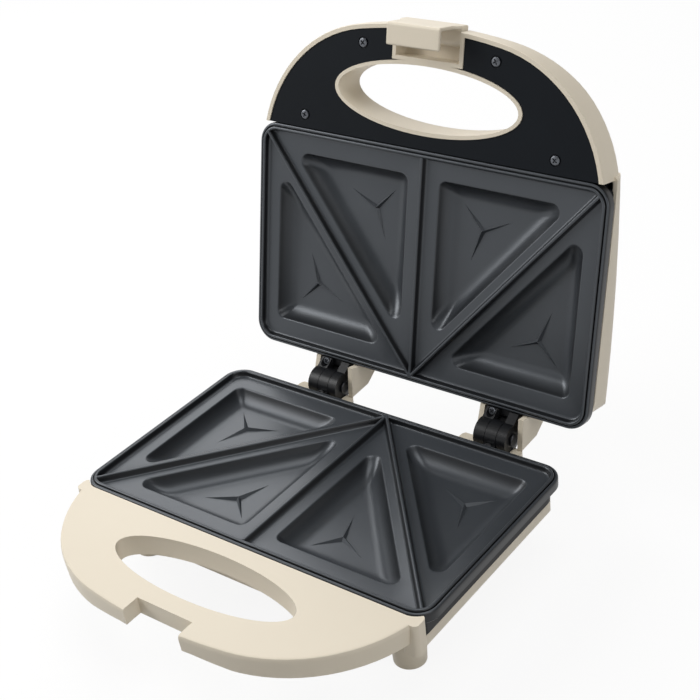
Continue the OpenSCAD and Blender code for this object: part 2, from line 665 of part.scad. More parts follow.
module lower_housing() {
    color(cream) seat() difference() {
        union() {
            difference() {
                union() {
                    tub(0, frame_z);
                    intersection() {
                        slab(-foot_drop, handle_z - edge_r) polygon(body_outline(0, front_wall_y,
                            tub_corner_r));
                        along_x(-big, big) tub_side(0);
                        along_y(front_wall_y, handle_end_y) tub_front(0);
                    }
                    for (x = hinges) translate([x, 0, 0]) hinge_block(0, block_rim_z);
                }
                tub(wall, 20);
                for (x = hinges) translate([x, 0, 0]) hinge_block(wall, hinge_block_top);
            }
            lower_handle();
            corner_columns();
            for (x = hinges) translate([x + (b0 + b1) / 2, 0, 0]) along_x(b0 - tongue_mid, b1 - tongue_mid)
                polygon([[tongue_y, tongue_z], [tongue_y, frame_z], [tongue_y + 5, frame_z],
                    [tongue_y + 5, hinge_block_top - 1], [axis_y - knuckle_r - 1, tongue_z]]);
            for (p = legs) translate([p[0], p[1], pad_proud - foot_drop]) if (p[1] < axis_y / 2)
                cylinder(r1 = leg_r, r2 = leg_r + leg_flare, h = foot_drop + tub_floor(p[1]) + wall);
            else cylinder(r = leg_r, h = foot_drop + hinge_block_top - pad_proud - wall / 2);
        }
        for (p = legs) translate([p[0], p[1], 0]) {
            core_top = p[1] < axis_y / 2 ? tub_floor(p[1]) - wall : hinge_block_top - screw_boss_h;
            slab(-foot_drop - 1, pad_h - foot_drop) circle(r = pad_r);
            slab(pad_h - foot_drop - 1, core_top) circle(r = leg_core_r);
        }
        for (x = hinges) translate([x + tongue_mid, tongue_screw_y, tongue_z - 5])
            cylinder(r = tongue_screw_r, h = 6);
        for (x = hinges) translate([x, rear_leg_y, hinge_block_top]) {
            translate([0, 0, -9]) cylinder(r = screw_r, h = 10);
            translate([-barrel_half_w - 2 * fit_gap, axis_y - knuckle_r - 2 * fit_gap - rear_leg_y, 0])
                cube([2 * (barrel_half_w + 2 * fit_gap), 2 * knuckle_r, 12]);
        }
        translate([0, body_y + 1, cord_z]) rotate([90, 0, 0]) cylinder(r = bush_r, h = 8);
    }
}

module foot_pads() {
    color(black) seat() for (p = legs) translate([p[0], p[1], -foot_drop]) cylinder(r = pad_r, h = pad_h);
}

// Black heat-resistant ring between plate and housing, with a ledge for the reflector
module frame_ring(ledge_z) {
    y0 = wall_inset;
    difference() {
        slab(ledge_z, plate_under_z) polygon(body_outline(0, y0));
        slab(ledge_z + 1.6, 0) polygon(body_outline(frame_t, y0 + frame_t));
        slab(ledge_z - 1, 0) polygon(body_outline(ledge_in, y0 + ledge_in));
        for (p = studs) translate([p[0], p[1], 0]) slab(ledge_z - 1, ledge_z + 2) circle(r = stud_r + 0.4);
    }
}

module lower_frame() { color(black) seat() frame_ring(frame_z); }

// Bush where the mains lead would enter
bush_r = 3.6;
cord_z = tub_floor(plate_d) + wall + bush_r + 2.6;
module cord_bush() {
    color(black) seat() translate([0, body_y, cord_z]) rotate([-90, 0, 0]) difference() {
        union() {
            translate([0, 0, -wall - 0.8]) cylinder(r = bush_r, h = wall + 1);
            cylinder(r = bush_r + 1, h = 1.8);
            translate([0, 0, -wall - 0.8]) cylinder(r = bush_r + 0.6, h = 0.8);
        }
        translate([0, 0, -10]) cylinder(r = bush_r - 1.3, h = 20);
    }
}

// ---------------------------------------------------------------- hinges
b0 = -barrel_half_w + knuckle_a + knuckle_gap;   // lower knuckle, between the two upper ones
b1 = barrel_half_w - knuckle_c - knuckle_gap;

module at_hinges() { for (x = hinges) translate([x, axis_y, axis_z]) children(); }

// Tongue of the lower arm: it reaches forward to a screw on the block, close behind the plate
tongue_mid = (b0 + b1) / 2;
tongue_t = 2.6;
tongue_y = plate_d + flange_o + 0.7;
tongue_z = axis_z - 1 - tongue_t;            // underside of the tongue
tongue_screw_y = tongue_y + 2.4;
tongue_screw_r = 1.1;
tongue_head_r = 2;
tongue_head_h = 1;

// The stop on the lower knuckle meets the yoke of the open lid
function stop_angle() = atan2(sqrt(stop_r * stop_r - yoke_back * yoke_back), -yoke_back)
    - lid_open - 2 * asin(stop_gap / 2 / stop_r);

module hinge_arms_lower() {
    foot_z = hinge_block_top - axis_z;
    color(black) seat() at_hinges() difference() {
        union() {
            rod_x(knuckle_r, b0, b1);
            along_x(b0, b1) polygon([[0, 0], [stop_r * cos(stop_angle()), stop_r * sin(stop_angle())],
                [stop_r * cos(stop_angle() - 20), stop_r * sin(stop_angle() - 20)]]);
            along_x(b0, b1) polygon([[-knuckle_r + 1, 0], [-knuckle_r + 1, foot_z + 1], [0.6, foot_z + 1],
                [0.6, 0]]);
            translate([b0, tongue_y - axis_y, tongue_z - axis_z])
                cube([b1 - b0, axis_y - knuckle_r / 2 - tongue_y, tongue_t]);
            translate([-barrel_half_w, -knuckle_r + 0.4, foot_z])
                cube([2 * barrel_half_w, knuckle_r + 0.6, hinge_foot_t]);
        }
        rod_x(pin_r, b0 - 1, b1 + 1);
        translate([0, rear_leg_y - axis_y, foot_z - 1]) cylinder(r = screw_r, h = hinge_foot_t + 1.5);
        translate([tongue_mid, tongue_screw_y - axis_y, tongue_z - axis_z - 1])
            cylinder(r = tongue_screw_r, h = tongue_t + 2);
    }
}

module hinge_arms_upper() {
    color(black) lid_hinges() difference() {
        union() {
            rod_x(knuckle_r, -barrel_half_w, -barrel_half_w + knuckle_a);
            rod_x(knuckle_r, barrel_half_w - knuckle_c, barrel_half_w);
            for (x = [[-barrel_half_w, knuckle_a], [barrel_half_w - knuckle_c, knuckle_c]])
                along_x(x[0], x[0] + x[1]) polygon([[yoke_y - axis_y, yoke_z - axis_z],
                    [-knuckle_r + 0.6, 0], [0, knuckle_r - 0.6], [yoke_y - axis_y + 6, yoke_top - axis_z],
                    [yoke_y - axis_y, yoke_top - axis_z]]);
            translate([-barrel_half_w, yoke_y - axis_y, yoke_z - axis_z])
                cube([strip_w, axis_y - yoke_back - yoke_y, yoke_top - yoke_z]);
            translate([-barrel_half_w, yoke_y - axis_y, yoke_z + yoke_step - axis_z])
                cube([2 * barrel_half_w, axis_y - yoke_back - yoke_y, yoke_top - yoke_z - yoke_step]);
        }
        rod_x(pin_r + pin_gap, -barrel_half_w - 1, barrel_half_w + 1);
        rod_x(knuckle_r + 0.4, -barrel_half_w + knuckle_a - tiny, barrel_half_w - knuckle_c + tiny);
        translate([yoke_screw_x, yoke_screw_y - axis_y, yoke_z - axis_z]) {
            translate([0, 0, -1]) cylinder(r = screw_r, h = 8);
            translate([0, 0, -9]) cylinder(r = yoke_head_r + 0.3, h = 9);
        }
    }
}
yoke_screw_y = (yoke_y + axis_y - yoke_back) / 2;
yoke_head_r = head_r - 0.7;

module lid_hinges() {
    lid_seat() translate([0, 0, -rim_gap]) at_hinges() children();
}

module hinge_pins() {
    color(steel) seat() at_hinges() {
        rod_x(pin_r, -barrel_half_w - 1.2, barrel_half_w + 1.2);
        for (x = [-barrel_half_w - 1.6, barrel_half_w + 0.4]) rod_x(pin_r + 1.4, x, x + 1.2);
    }
}

module lower_hinge_screws() {
    color(steel) seat() for (x = hinges)
        translate([x, rear_leg_y, hinge_block_top - screw_boss_h]) {
            cylinder(r = screw_r, h = screw_boss_h + hinge_foot_t);
            translate([0, 0, -1.8]) cylinder(r = head_r, h = 1.8);
            translate([tongue_mid, tongue_screw_y - rear_leg_y, tongue_z - hinge_block_top + screw_boss_h]) {
                slab(-4.6, tongue_t + 0.2) circle(r = tongue_screw_r);
                slab(tongue_t, tongue_t + tongue_head_h) circle(r = tongue_head_r);
            }
        }
}

module upper_hinge_screws() {
    color(steel) lid_seat() translate([0, 0, -rim_gap])
        for (x = hinges) translate([x + yoke_screw_x, yoke_screw_y, yoke_z]) {
            cylinder(r = screw_r, h = 9);
            translate([0, 0, -1.6]) cylinder(r = yoke_head_r, h = 1.6);
        }
}

// ---------------------------------------------------------------- lid
// The lid's walls stand a little outside the lower housing's
lid_side = 1.6;
lens_span = 12;                              // half length of the flat that carries the lamps
stations = [-8, 6, lens_y - lens_span, lens_y + lens_span, 72, 92, crown_y - 8, crown_y, 132];

module dome_side(inset) {
    y0 = front_wall_y + inset;
    y1 = body_y - inset;
    turn = 90 + crown_slope(front_meet_y);
    corner_y = front_meet_y + (lid_top_z - crown(front_meet_y)) / tan(turn - 90);
    polygon(concat([[y0, 0], [y1, 0]],
        arc([y1 - shoulder_r + inset, lid_shoulder_z], shoulder_r - inset, 0, 90, 8),
        [[corner_y, lid_top_z - inset]],
        arc([y0 + front_shoulder_r - inset, lid_handle_t], front_shoulder_r - inset, turn, 180, 9)));
}
module dome_section(inset, y) {
    x = body_x + lid_side - inset;
    r = shoulder_r - inset;
    z = crown(y) - shoulder_r;
    polygon(concat([[x, -12]], arc([x - r, z], r, 0, 90, 8), arc([-x + r, z], r, 90, 180, 8), [[-x, -12]]));
}
module dome(inset, z0) {
    intersection() {
        slab(z0, 90) polygon(body_outline(inset - lid_side, front_wall_y + inset));
        along_x(-big, big) dome_side(inset);
        hull() for (y = stations) along_y(y, y + tiny) dome_section(inset, y);
    }
}

// Top of the lid's handle: level near the lid, falling towards its front edge
fall_y = -40;
function handle_top(y) = lid_handle_t - lid_handle_fall * pow(max(0,
    fall_y - y) / (handle_reach + fall_y), 2);

// Outline moved in by inset, at a level height or at a depth below the falling top
function level_ring(inset, y_end, z) = [for (p = handle_ring(inset, y_end)) [p[0], p[1], z]];
function top_ring(inset, y_end, depth) = [for (p = handle_ring(inset, y_end)) [p[0], p[1],
    handle_top(p[1]) - depth]];

// Solid through a stack of rings; each ring's first and last points face each other across the middle
module ring_solid(rings) {
    n = len(rings[0]);
    last = (len(rings) - 1) * n;
    half = (n - 1) / 2;
    polyhedron(
        points = [for (ring = rings) each ring],
        faces = concat(
            [for (k = [0:len(rings) - 2], i = [0:n - 1]) let (j = (i + 1) % n)
                each [[k * n + i, k * n + j, (k + 1) * n + i], [k * n + j, (k + 1) * n + j, (k + 1)
                    * n + i]]],
            [for (i = [0:half - 2]) [i, n - 1 - i, n - 2 - i, i + 1]], [[half - 1, half + 1, half]],
            [for (i = [0:half - 2]) [last + i, last + i + 1, last + n - 2 - i, last + n - 1 - i]],
            [[last + half - 1, last + half, last + half + 1]]));
}

module lid_handle() {
    difference() {
        ring_solid([level_ring(0.4, handle_end_y, 0.2), level_ring(0, handle_end_y, 1),
            top_ring(0, handle_end_y, 4), top_ring(0.5, handle_end_y, 2), top_ring(1.8, handle_end_y, 0.6),
            top_ring(4, handle_end_y, 0)]);
        difference() {
            ring_solid([level_ring(cover_margin, handle_end_y + 9, -1), top_ring(cover_margin,
                handle_end_y + 9, 4 + wall),
                top_ring(cover_margin + 3, handle_end_y + 9, wall)]);
            slab(-2, 40) polygon(oval(wall));
            slab(-2, 40) polygon(latch_pocket(wall));
            for (p = cover_screw_places) translate([p[0], p[1], cover_back + cover_t]) cylinder(r = 3.2,
                h = 20);
        }
        slab(-2, 40) polygon(oval(0));
        slab(-2, pocket_top_z) polygon(latch_pocket(0));
        translate([-latch_pocket_half_w, -big, -1]) cube([2 * latch_pocket_half_w,
            big - latch_pin_y - 3.4, 40]);
        for (p = cover_screw_places) translate([p[0], p[1], 0]) cylinder(r = screw_r, h = 11);
        latch_axis() rod_x(latch_pin_r, -latch_pocket_half_w - wall, latch_pocket_half_w + wall);
    }
}

cover_screw_places = [for (s = [-1, 1]) each [[s * screw_front_x, -screw_front_y], [s
    * screw_rear_x, -screw_rear_y]]];
function latch_pocket(grow) = let (x = latch_pocket_half_w + grow, y = pocket_back_y + grow)
    [[-x, -handle_reach - 5], [x, -handle_reach - 5], [x, y], [-x, y]];

// Hood over a hinge: a deep cheek on the right, a shallow one on the left and a roof that opens to the rear
module hood() {
    x = hood_half_w;
    left_x = -barrel_half_w - 1.8;
    seat_z = yoke_top - rim_gap;
    clear_r = stop_r + 0.4;
    start = [[body_y - 3, lid_z], [yoke_y, lid_z]];
    back = [[axis_y + 1.2, 13], [axis_y - 5.8, 20], [body_y + 3, 28], [body_y - 3, 30]];
    along_x(left_x - cheek_t, left_x) polygon(concat(start,
        [[yoke_y, yoke_z + 0.4], [axis_y - 7, axis_z + 4.5], [axis_y + 1.2, axis_z + 3]], back));
    along_x(x - cheek_t, x) polygon(concat(start,
        [[yoke_y, yoke_z - 6], [axis_y + 5.4, axis_z + 1]], back));
    along_x(left_x - cheek_t, x) polygon(concat(start, [[yoke_y, seat_z]],
        arc([axis_y, axis_z - rim_gap], clear_r, 180 - asin((yoke_top - axis_z) / clear_r), 82, 5), back));
}

module upper_housing() {
    color(cream) lid_seat() difference() {
        union() {
            difference() {
                union() {
                    dome(0, lid_z);
                    for (x = hinges) translate([x, 0, 0]) hood();
                }
                dome(wall, -5);
            }
            difference() {
                lid_handle();
                slab(-5, 60) polygon([[-big, handle_end_y], [big, handle_end_y], [big, 60], [-big, 60]]);
            }
        }
        for (x = hinges) translate([x + yoke_screw_x, yoke_screw_y, yoke_z - rim_gap])
            cylinder(r = screw_r, h = 9);
        for (x = [-lens_x, lens_x]) at_lamps(x) translate([0, 0, -6]) cylinder(r = lens_r, h = 9);
    }
}

// Black moulding that closes the handle's inside and rings the upper plate
module lid_cover() {
    m = cover_margin + fit_gap;
    x = handle_half_w - m - 2;
    color(black) lid_seat() difference() {
        union() {
            slab(cover_back, cover_back + cover_t) polygon(handle_outline(m, handle_end_y));
            mirror([0, 0, 1]) frame_ring(-lid_z);
            slab(cover_back, lid_z) polygon([[-x, handle_end_y - cover_t], [x, handle_end_y - cover_t],
                [x, handle_end_y], [-x, handle_end_y]]);
            slab(lid_z - cover_t, lid_z) polygon([[-x, handle_end_y - cover_t], [x, handle_end_y - cover_t],
                [x, wall_inset + 1], [-x, wall_inset + 1]]);
        }
        slab(-2, 40) polygon(oval(wall + fit_gap));
        slab(-2, 10) polygon(latch_pocket(wall + fit_gap));
        for (p = cover_screw_places) translate([p[0], p[1], -2]) cylinder(r = screw_r, h = 20);
    }
}

module cover_screws() {
    color(steel) lid_seat() for (p = cover_screw_places) translate([p[0], p[1], 0]) {
        translate([0, 0, cover_back - 0.7]) cylinder(r = head_r, h = 0.7);
        translate([0, 0, cover_back - 0.2]) cylinder(r = screw_r, h = 9);
    }
}

// Signal lamps on the lid's top: two lenses, their bulbs and one holder
lens_slope = crown_slope(lens_y);
lens_seat = -wall * cos(lens_slope);         // underside of the lid's wall at the lamps
bulb_r = 2;
bulb_h = 5.5;
bulb_drop = 9;                               // foot of a bulb below the lid's wall
holder_t = 2;
module at_lamps(x) {
    translate([x, lens_y, (crown(lens_y - lens_span) + crown(lens_y + lens_span)) / 2])
        rotate([lens_slope, 0, 0]) children();
}
module lens(x) {
    at_lamps(x) {
        slab(lens_seat, 0.8) circle(r = lens_r);
        slab(lens_seat - 1, lens_seat) circle(r = lens_r + 1);
    }
}
module power_lens() { color("red") lid_seat() lens(-lens_x); }
module ready_lens() { color("green") lid_seat() lens(lens_x); }
module lamp_bulbs() {
    color("orange") lid_seat() for (x = [-lens_x, lens_x]) at_lamps(x) translate([0, 0,
        lens_seat - bulb_drop]) {
        cylinder(r = bulb_r, h = bulb_h);
        translate([0, 0, bulb_h]) sphere(r = bulb_r);
    }
}
module lamp_holder() {
    x = lens_x + 10;
    z = lens_seat - bulb_drop;
    color(white) lid_seat() at_lamps(0) {
        translate([-x, -5, z - holder_t]) cube([2 * x, 10, holder_t]);
        for (s = [-1, 1]) translate([s * (x - 2) - 2, -5, z - holder_t]) cube([4, 10, bulb_drop + holder_t]);
    }
}

// ---------------------------------------------------------------- latch
module latch_axis() { translate([0, -latch_pin_y, latch_pin_z]) children(); }

module latch() {
    top_z = latch_pin_z + 3.4;
    w = latch_pocket_half_w - 0.5;
    toe = 2;
    ear_r = 3.2;
    color(cream) lid_seat() difference() {
        intersection() {
            union() {
                along_x(-w, w) polygon([[latch_y + 0.6, top_z], [latch_y, top_z - 0.8], [latch_y,
                    hook_top_z - toe + 1],
                    [latch_y + 1, hook_top_z - toe], [hook_tip_y - 0.6, hook_top_z - toe],
                    [hook_tip_y, hook_top_z - toe + 0.6], [hook_tip_y - 0.4, hook_top_z],
                    [latch_y + latch_t, hook_top_z], [latch_y + latch_t, top_z]]);
                latch_axis() rod_x(ear_r, -w, w);
                along_x(-w, w) polygon([[latch_y + 1, latch_pin_z - ear_r], [-latch_pin_y,
                    latch_pin_z - ear_r],
                    [-latch_pin_y, latch_pin_z + ear_r], [latch_y + 1, latch_pin_z + ear_r]]);
            }
            along_y(-big, big) polygon([[-w, 40], [-w, 2], [-hook_half_w, -1], [-hook_half_w, -40],
                [hook_half_w, -40], [hook_half_w, -1], [w, 2], [w, 40]]);
        }
        latch_axis() rod_x(latch_pin_r + pin_gap, -30, 30);
    }
}

module latch_pin() {
    color(steel) lid_seat() latch_axis() rod_x(latch_pin_r, -latch_pocket_half_w - wall,
        latch_pocket_half_w + wall);
}

lower_housing();
foot_pads();
lower_frame();
lower_plate();
lower_heater();
lower_heater_ends();
lower_heater_clamps();
lower_reflector();
lower_plate_screws();
thermostat();
thermal_fuse();
cord_bush();
hinge_arms_lower();
lower_hinge_screws();
hinge_pins();
hinge_arms_upper();
upper_hinge_screws();
upper_housing();
lid_cover();
cover_screws();
upper_plate();
upper_heater();
upper_heater_ends();
upper_heater_clamps();
upper_reflector();
upper_plate_screws();
power_lens();
ready_lens();
lamp_bulbs();
lamp_holder();
latch();
latch_pin();
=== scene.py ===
"""Sandwich toaster with its lid open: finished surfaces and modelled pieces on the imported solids.

Plate coordinates are in millimetres: X right, Y back from the crest of the plates' front rim, Z up
from the plane in which the two rims meet. Lid pieces are made as if the lid were shut, and are then
swung open about the hinge.
"""
import json
import math
import bmesh
import bpy
from mathutils import Matrix, Vector
from mathutils.geometry import delaunay_2d_cdt


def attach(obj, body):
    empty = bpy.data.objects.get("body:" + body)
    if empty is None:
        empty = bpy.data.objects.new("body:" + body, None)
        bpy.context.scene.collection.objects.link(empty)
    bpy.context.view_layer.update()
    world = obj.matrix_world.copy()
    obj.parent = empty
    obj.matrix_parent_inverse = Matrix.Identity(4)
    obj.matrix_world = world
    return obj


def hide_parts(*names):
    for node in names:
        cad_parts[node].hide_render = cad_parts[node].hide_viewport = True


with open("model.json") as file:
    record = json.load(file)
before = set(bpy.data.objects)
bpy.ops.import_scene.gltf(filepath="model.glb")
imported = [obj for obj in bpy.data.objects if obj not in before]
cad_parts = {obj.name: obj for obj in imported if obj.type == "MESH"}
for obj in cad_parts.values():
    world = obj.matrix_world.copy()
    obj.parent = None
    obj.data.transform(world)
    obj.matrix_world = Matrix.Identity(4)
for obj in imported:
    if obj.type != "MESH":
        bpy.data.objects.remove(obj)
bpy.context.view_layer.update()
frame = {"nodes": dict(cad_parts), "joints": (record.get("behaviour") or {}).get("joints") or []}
scene = bpy.context.scene
MM = 0.001

# ------------------------------------------------------------------ sizes, mm
PLATE_W, PLATE_D = 220.0, 128.5      # between the crests of the rim
HALF_W = PLATE_W / 2
CORNER_R = 9.0                       # of the crest
RIM_H = 3.5                          # rim and ridges above the land
LAND = -RIM_H
PLATE_T = 2.0                        # wall of the casting
FLANGE = 3.1                         # outer edge, out from the crest
SKIRT, SKIRT_T = 6.8, 1.5            # lower edge below the crest, and its wall
RIDGE_END = 2.7                      # front ends of the slanting ridges, in from both crests
POCKET_RIM_GAP = 12.2                # a pocket's edge to the front or rear crest,
POCKET_SIDE_GAP = 10.3               # to the side crest or the middle of the plate,
POCKET_DIAG_GAP = 7.3                # and to the middle of the slanting ridge
POCKET_DEPTH = 8.3
POCKET_FLOOR_IN = 11.2               # from the pocket's edge to the flat of its floor
POCKET_R, POCKET_MIN_R = 4.8, 1.2    # its corners, at the edge and at their tightest
POCKET_R_LOSS = 0.4                  # how much tighter they get for each mm towards the floor
STAR_OFF = 25.0                      # middle of the star, from both short sides of the pocket
STAR_H = 1.9                         # its peak above the floor
STAR_HALF = 1.3                      # half the width of an arm at its root
STAR_ARMS = (18.0, 19.5, 19.5)       # towards the right angle and the two sharp corners
AXIS_BACK, AXIS_DROP = 16.8, 3.5     # hinge axis, from the rear crest and the meeting plane
RIM_GAP = 0.3                        # between the two rims when the lid is shut
HINGES = (-53.0, 62.0)               # middles of the two hinges

COVER_BACK = 0.8                     # face of the lid cover, behind the meeting plane
COVER_SCREW_SPOTS = [(41.9, 56.0), (80.6, 11.0)]     # sideways and forwards, on each side
COVER_SCREW_PROUD = 0.1              # underside of the screw's head, above the cover
SEAT_R, SEAT_DEPTH = 3.3, 0.5        # sunk ring round each of them
# places of the hinges' screws: X from the hinge's middle, Y, Z
STRIP_SCREW = (-6.2, 134.1, 1.6)     # in the upper arm
TONGUE_SCREW = (0.6, 134.7, -4.5)    # in the lower arm's tongue
BLOCK_SCREW = (0.0, 139.2, -20.3)    # from below, in the base's hinge block
PIN_BORE_R, PIN_BORE_REACH = 1.7, 30.0               # of the latch, round its pin

# head radius, head height, shank radius and shank length of each kind of screw
COVER_SCREW_SIZE = (2.5, 0.6, 1.4, 8.5)
STRIP_SCREW_SIZE = (2.3, 1.4, 1.4, 9)
TONGUE_SCREW_SIZE = (2.0, 1.0, 1.1, 7)
BLOCK_SCREW_SIZE = (3.0, 1.8, 1.4, 7)

joints = {j["name"]: j for j in frame["joints"]}
hinge = Vector(joints["lid_hinge"]["pos_m"])
lid_open = math.radians(joints["lid_hinge"]["range_deg"][1])
plate_zero = hinge - Vector((0, PLATE_D + AXIS_BACK, -AXIS_DROP)) * MM
to_base = Matrix.Translation(plate_zero) @ Matrix.Scale(MM, 4)
swing = Matrix.Translation(hinge) @ Matrix.Rotation(-lid_open, 4, "X") @ Matrix.Translation(-hinge)
to_lid = swing @ Matrix.Translation((0, 0, RIM_GAP * MM)) @ to_base
flip = Matrix.Diagonal((1, 1, -1, 1))


# ------------------------------------------------------------------ building
SAME_PLACE = 1e-6                    # m; points closer than this are one
SAME_PLANE = math.radians(0.5)       # faces that meet flatter than this are one
EDGE_ANGLE = math.radians(30)        # edges sharper than this are rounded
PLATE_SHARP, SCREW_SHARP = 36, 40    # degrees; edges sharper than this stay crisp


def linked(name, data):
    """A new object in the scene."""
    thing = bpy.data.objects.new(name, data)
    scene.collection.objects.link(thing)
    return thing


def mesh_from(bm, name):
    """The finished bmesh as a mesh."""
    mesh = bpy.data.meshes.new(name)
    bm.to_mesh(mesh)
    bm.free()
    return mesh


def shown(mesh, name, body, stands_for):
    """Links a mesh as a piece that rides on a body, in place of the nodes that it stands for."""
    piece = linked(name, mesh)
    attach(piece, body)
    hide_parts(*stands_for)
    return piece


def baked(piece):
    """The evaluated mesh of an object, as a plain mesh; the object itself goes."""
    graph = bpy.context.evaluated_depsgraph_get()
    graph.update()
    mesh = bpy.data.meshes.new_from_object(piece.evaluated_get(graph))
    bpy.data.objects.remove(piece)
    return mesh


def smoothed(mesh, angle):
    """Smooth shading, except across edges sharper than the angle in degrees."""
    mesh.shade_smooth()
    mesh.set_sharp_from_angle(angle=math.radians(angle))
    return mesh


def cut_by(work, cutter):
    """Takes the cutter's form out of an object."""
    cut = work.modifiers.new("cut", "BOOLEAN")
    cut.operation, cut.solver, cut.object = "DIFFERENCE", "EXACT", cutter


def rounded_copy(node, body, material, width, segments=2, cutters=()):
    """Stands in for a rigid node: its own faces joined up, cut, and rounded at the edges."""
    bm = bmesh.new()
    bm.from_mesh(frame["nodes"][node].data)
    bmesh.ops.remove_doubles(bm, verts=bm.verts, dist=SAME_PLACE)
    bmesh.ops.dissolve_limit(bm, angle_limit=SAME_PLANE, verts=bm.verts, edges=bm.edges)
    mesh = mesh_from(bm, node)
    for layer in list(mesh.attributes):
        if layer.name in ("custom_normal", "sharp_edge"):
            mesh.attributes.remove(layer)
    mesh.materials.clear()
    mesh.materials.append(material)
    mesh.shade_smooth()
    work = linked(node + "_work", mesh)
    for cutter in cutters:
        cut_by(work, cutter)
    bevel = work.modifiers.new("edges", "BEVEL")
    bevel.width = width * MM
    bevel.segments = segments
    bevel.limit_method, bevel.angle_limit = "ANGLE", EDGE_ANGLE
    bevel.use_clamp_overlap = True
    bevel.miter_outer = "MITER_ARC"
    normals = work.modifiers.new("flats", "WEIGHTED_NORMAL")
    normals.keep_sharp = True
    finished = baked(work)
    for cutter in cutters:
        bpy.data.objects.remove(cutter)
    return shown(finished, node + "_finished", body, [node])


def softened_copy(node, body, material, voxel, passes, bore):
    """Stands in for a small moulded node: its edges rolled over softly, and its bore cut clean."""
    mesh = frame["nodes"][node].data.copy()
    mesh.name = node
    mesh.materials.clear()
    mesh.materials.append(material)
    work = linked(node + "_work", mesh)
    joined_up = work.modifiers.new("joined", "WELD")
    joined_up.merge_threshold = SAME_PLACE
    even = work.modifiers.new("even mesh", "REMESH")
    even.mode, even.voxel_size, even.use_smooth_shade = "VOXEL", voxel * MM, True
    soft = work.modifiers.new("rolled edges", "SMOOTH")
    soft.factor, soft.iterations = 0.5, passes
    cut_by(work, bore)
    finished = baked(work)
    bpy.data.objects.remove(bore)
    return shown(finished, node + "_finished", body, [node])


# ------------------------------------------------------------------ shader groups
MIX_A, MIX_B, MIX_OUT = 6, 7, 2      # the colour sockets of a Mix node
RANDOM_MAX, RANDOM_OUT = 3, 1        # the number sockets of a Random Value node
BROAD_GRAINS = 0.3                   # broad bumps for each fine one
SCUFF_TURN, SCUFF_STRETCH = (0.3, 0.2, 0.9), (1.0, 0.05, 1.0)    # which way the lines run
SCUFF_PATCHES = 40.0                 # in a metre
SCUFF_EDGE, SCUFF_CONTRAST = 0.62, 8.0               # where a line starts to show, and how fast


def add(tree, kind, inputs=None, **settings):
    """A node with its settings; inputs are plain values or other nodes' output sockets."""
    node = tree.nodes.new(kind)
    for key, value in settings.items():
        setattr(node, key, value)
    for key, value in (inputs or {}).items():
        if isinstance(value, bpy.types.NodeSocket):
            tree.links.new(value, node.inputs[key])
        else:
            node.inputs[key].default_value = value
    return node


def calc(tree, operation, *values, **settings):
    """The output of a Math node."""
    inputs = dict(enumerate(values))
    return add(tree, "ShaderNodeMath", inputs, operation=operation, **settings).outputs[0]


def new_group(name, inputs, output):
    """A group with number inputs and one number output; gives the group, its inputs and its end."""
    group = bpy.data.node_groups.new(name, "ShaderNodeTree")
    for label, value in inputs:
        socket = group.interface.new_socket(label, in_out="INPUT", socket_type="NodeSocketFloat")
        socket.default_value = value
    group.interface.new_socket(output, in_out="OUTPUT", socket_type="NodeSocketFloat")
    given, result = group.nodes.new("NodeGroupInput"), group.nodes.new("NodeGroupOutput")
    return group, given.outputs, result.inputs[output]


def grain_group():
    """Fine moulded or sprayed grain: two sizes of soft bumps."""
    group, given, height = new_group(
        "fine grain", [("Grains per metre", 2500), ("Roundness", 0.5)], "Height")
    place = add(group, "ShaderNodeTexCoord").outputs["Object"]
    small = add(group, "ShaderNodeTexNoise",
                {"Vector": place, "Scale": given["Grains per metre"], "Detail": 2.0,
                 "Roughness": given["Roundness"]})
    broad_scale = calc(group, "MULTIPLY", given["Grains per metre"], BROAD_GRAINS)
    broad = add(group, "ShaderNodeTexNoise",
                {"Vector": place, "Scale": broad_scale, "Detail": 1.0})
    group.links.new(calc(group, "ADD", small.outputs[0], broad.outputs[0]), height)
    return group


def cloud_group():
    """Slow unevenness of colour or gloss over a moulded or coated surface, from 0 to 1."""
    group, given, mask = new_group(
        "slow unevenness", [("Patches per metre", 18), ("Contrast", 1.0)], "Mask")
    place = add(group, "ShaderNodeTexCoord").outputs["Object"]
    noise = add(group, "ShaderNodeTexNoise",
                {"Vector": place, "Scale": given["Patches per metre"], "Detail": 4.0,
                 "Roughness": 0.55})
    centred = calc(group, "SUBTRACT", noise.outputs[0], 0.5)
    scaled = calc(group, "MULTIPLY_ADD", centred, given["Contrast"], 0.5, use_clamp=True)
    group.links.new(scaled, mask)
    return group


def scuff_group():
    """Hair-fine rubbed lines, running one way and broken up in patches."""
    group, given, mask = new_group(
        "fine scuffs", [("Lines per metre", 900), ("Share", 0.3)], "Mask")
    place = add(group, "ShaderNodeTexCoord").outputs["Object"]
    drawn = add(group, "ShaderNodeMapping",
                {"Vector": place, "Rotation": SCUFF_TURN, "Scale": SCUFF_STRETCH})
    lines = add(group, "ShaderNodeTexNoise",
                {"Vector": drawn.outputs[0], "Scale": given["Lines per metre"], "Detail": 1.0})
    patches = add(group, "ShaderNodeTexNoise",
                  {"Vector": place, "Scale": SCUFF_PATCHES, "Detail": 2.0})
    product = calc(group, "MULTIPLY", lines.outputs[0], patches.outputs[0])
    threshold = calc(group, "SUBTRACT", SCUFF_EDGE, given["Share"])
    over = calc(group, "SUBTRACT", product, threshold)
    group.links.new(calc(group, "MULTIPLY", over, SCUFF_CONTRAST, use_clamp=True), mask)
    return group


grain, clouds, scuffs = grain_group(), cloud_group(), scuff_group()


def use_group(tree, group, **values):
    """The output of a group; the names of its inputs are given with _ for each space."""
    node = tree.nodes.new("ShaderNodeGroup")
    node.node_tree = group
    for label, value in values.items():
        node.inputs[label.replace("_", " ")].default_value = value
    return node.outputs[0]


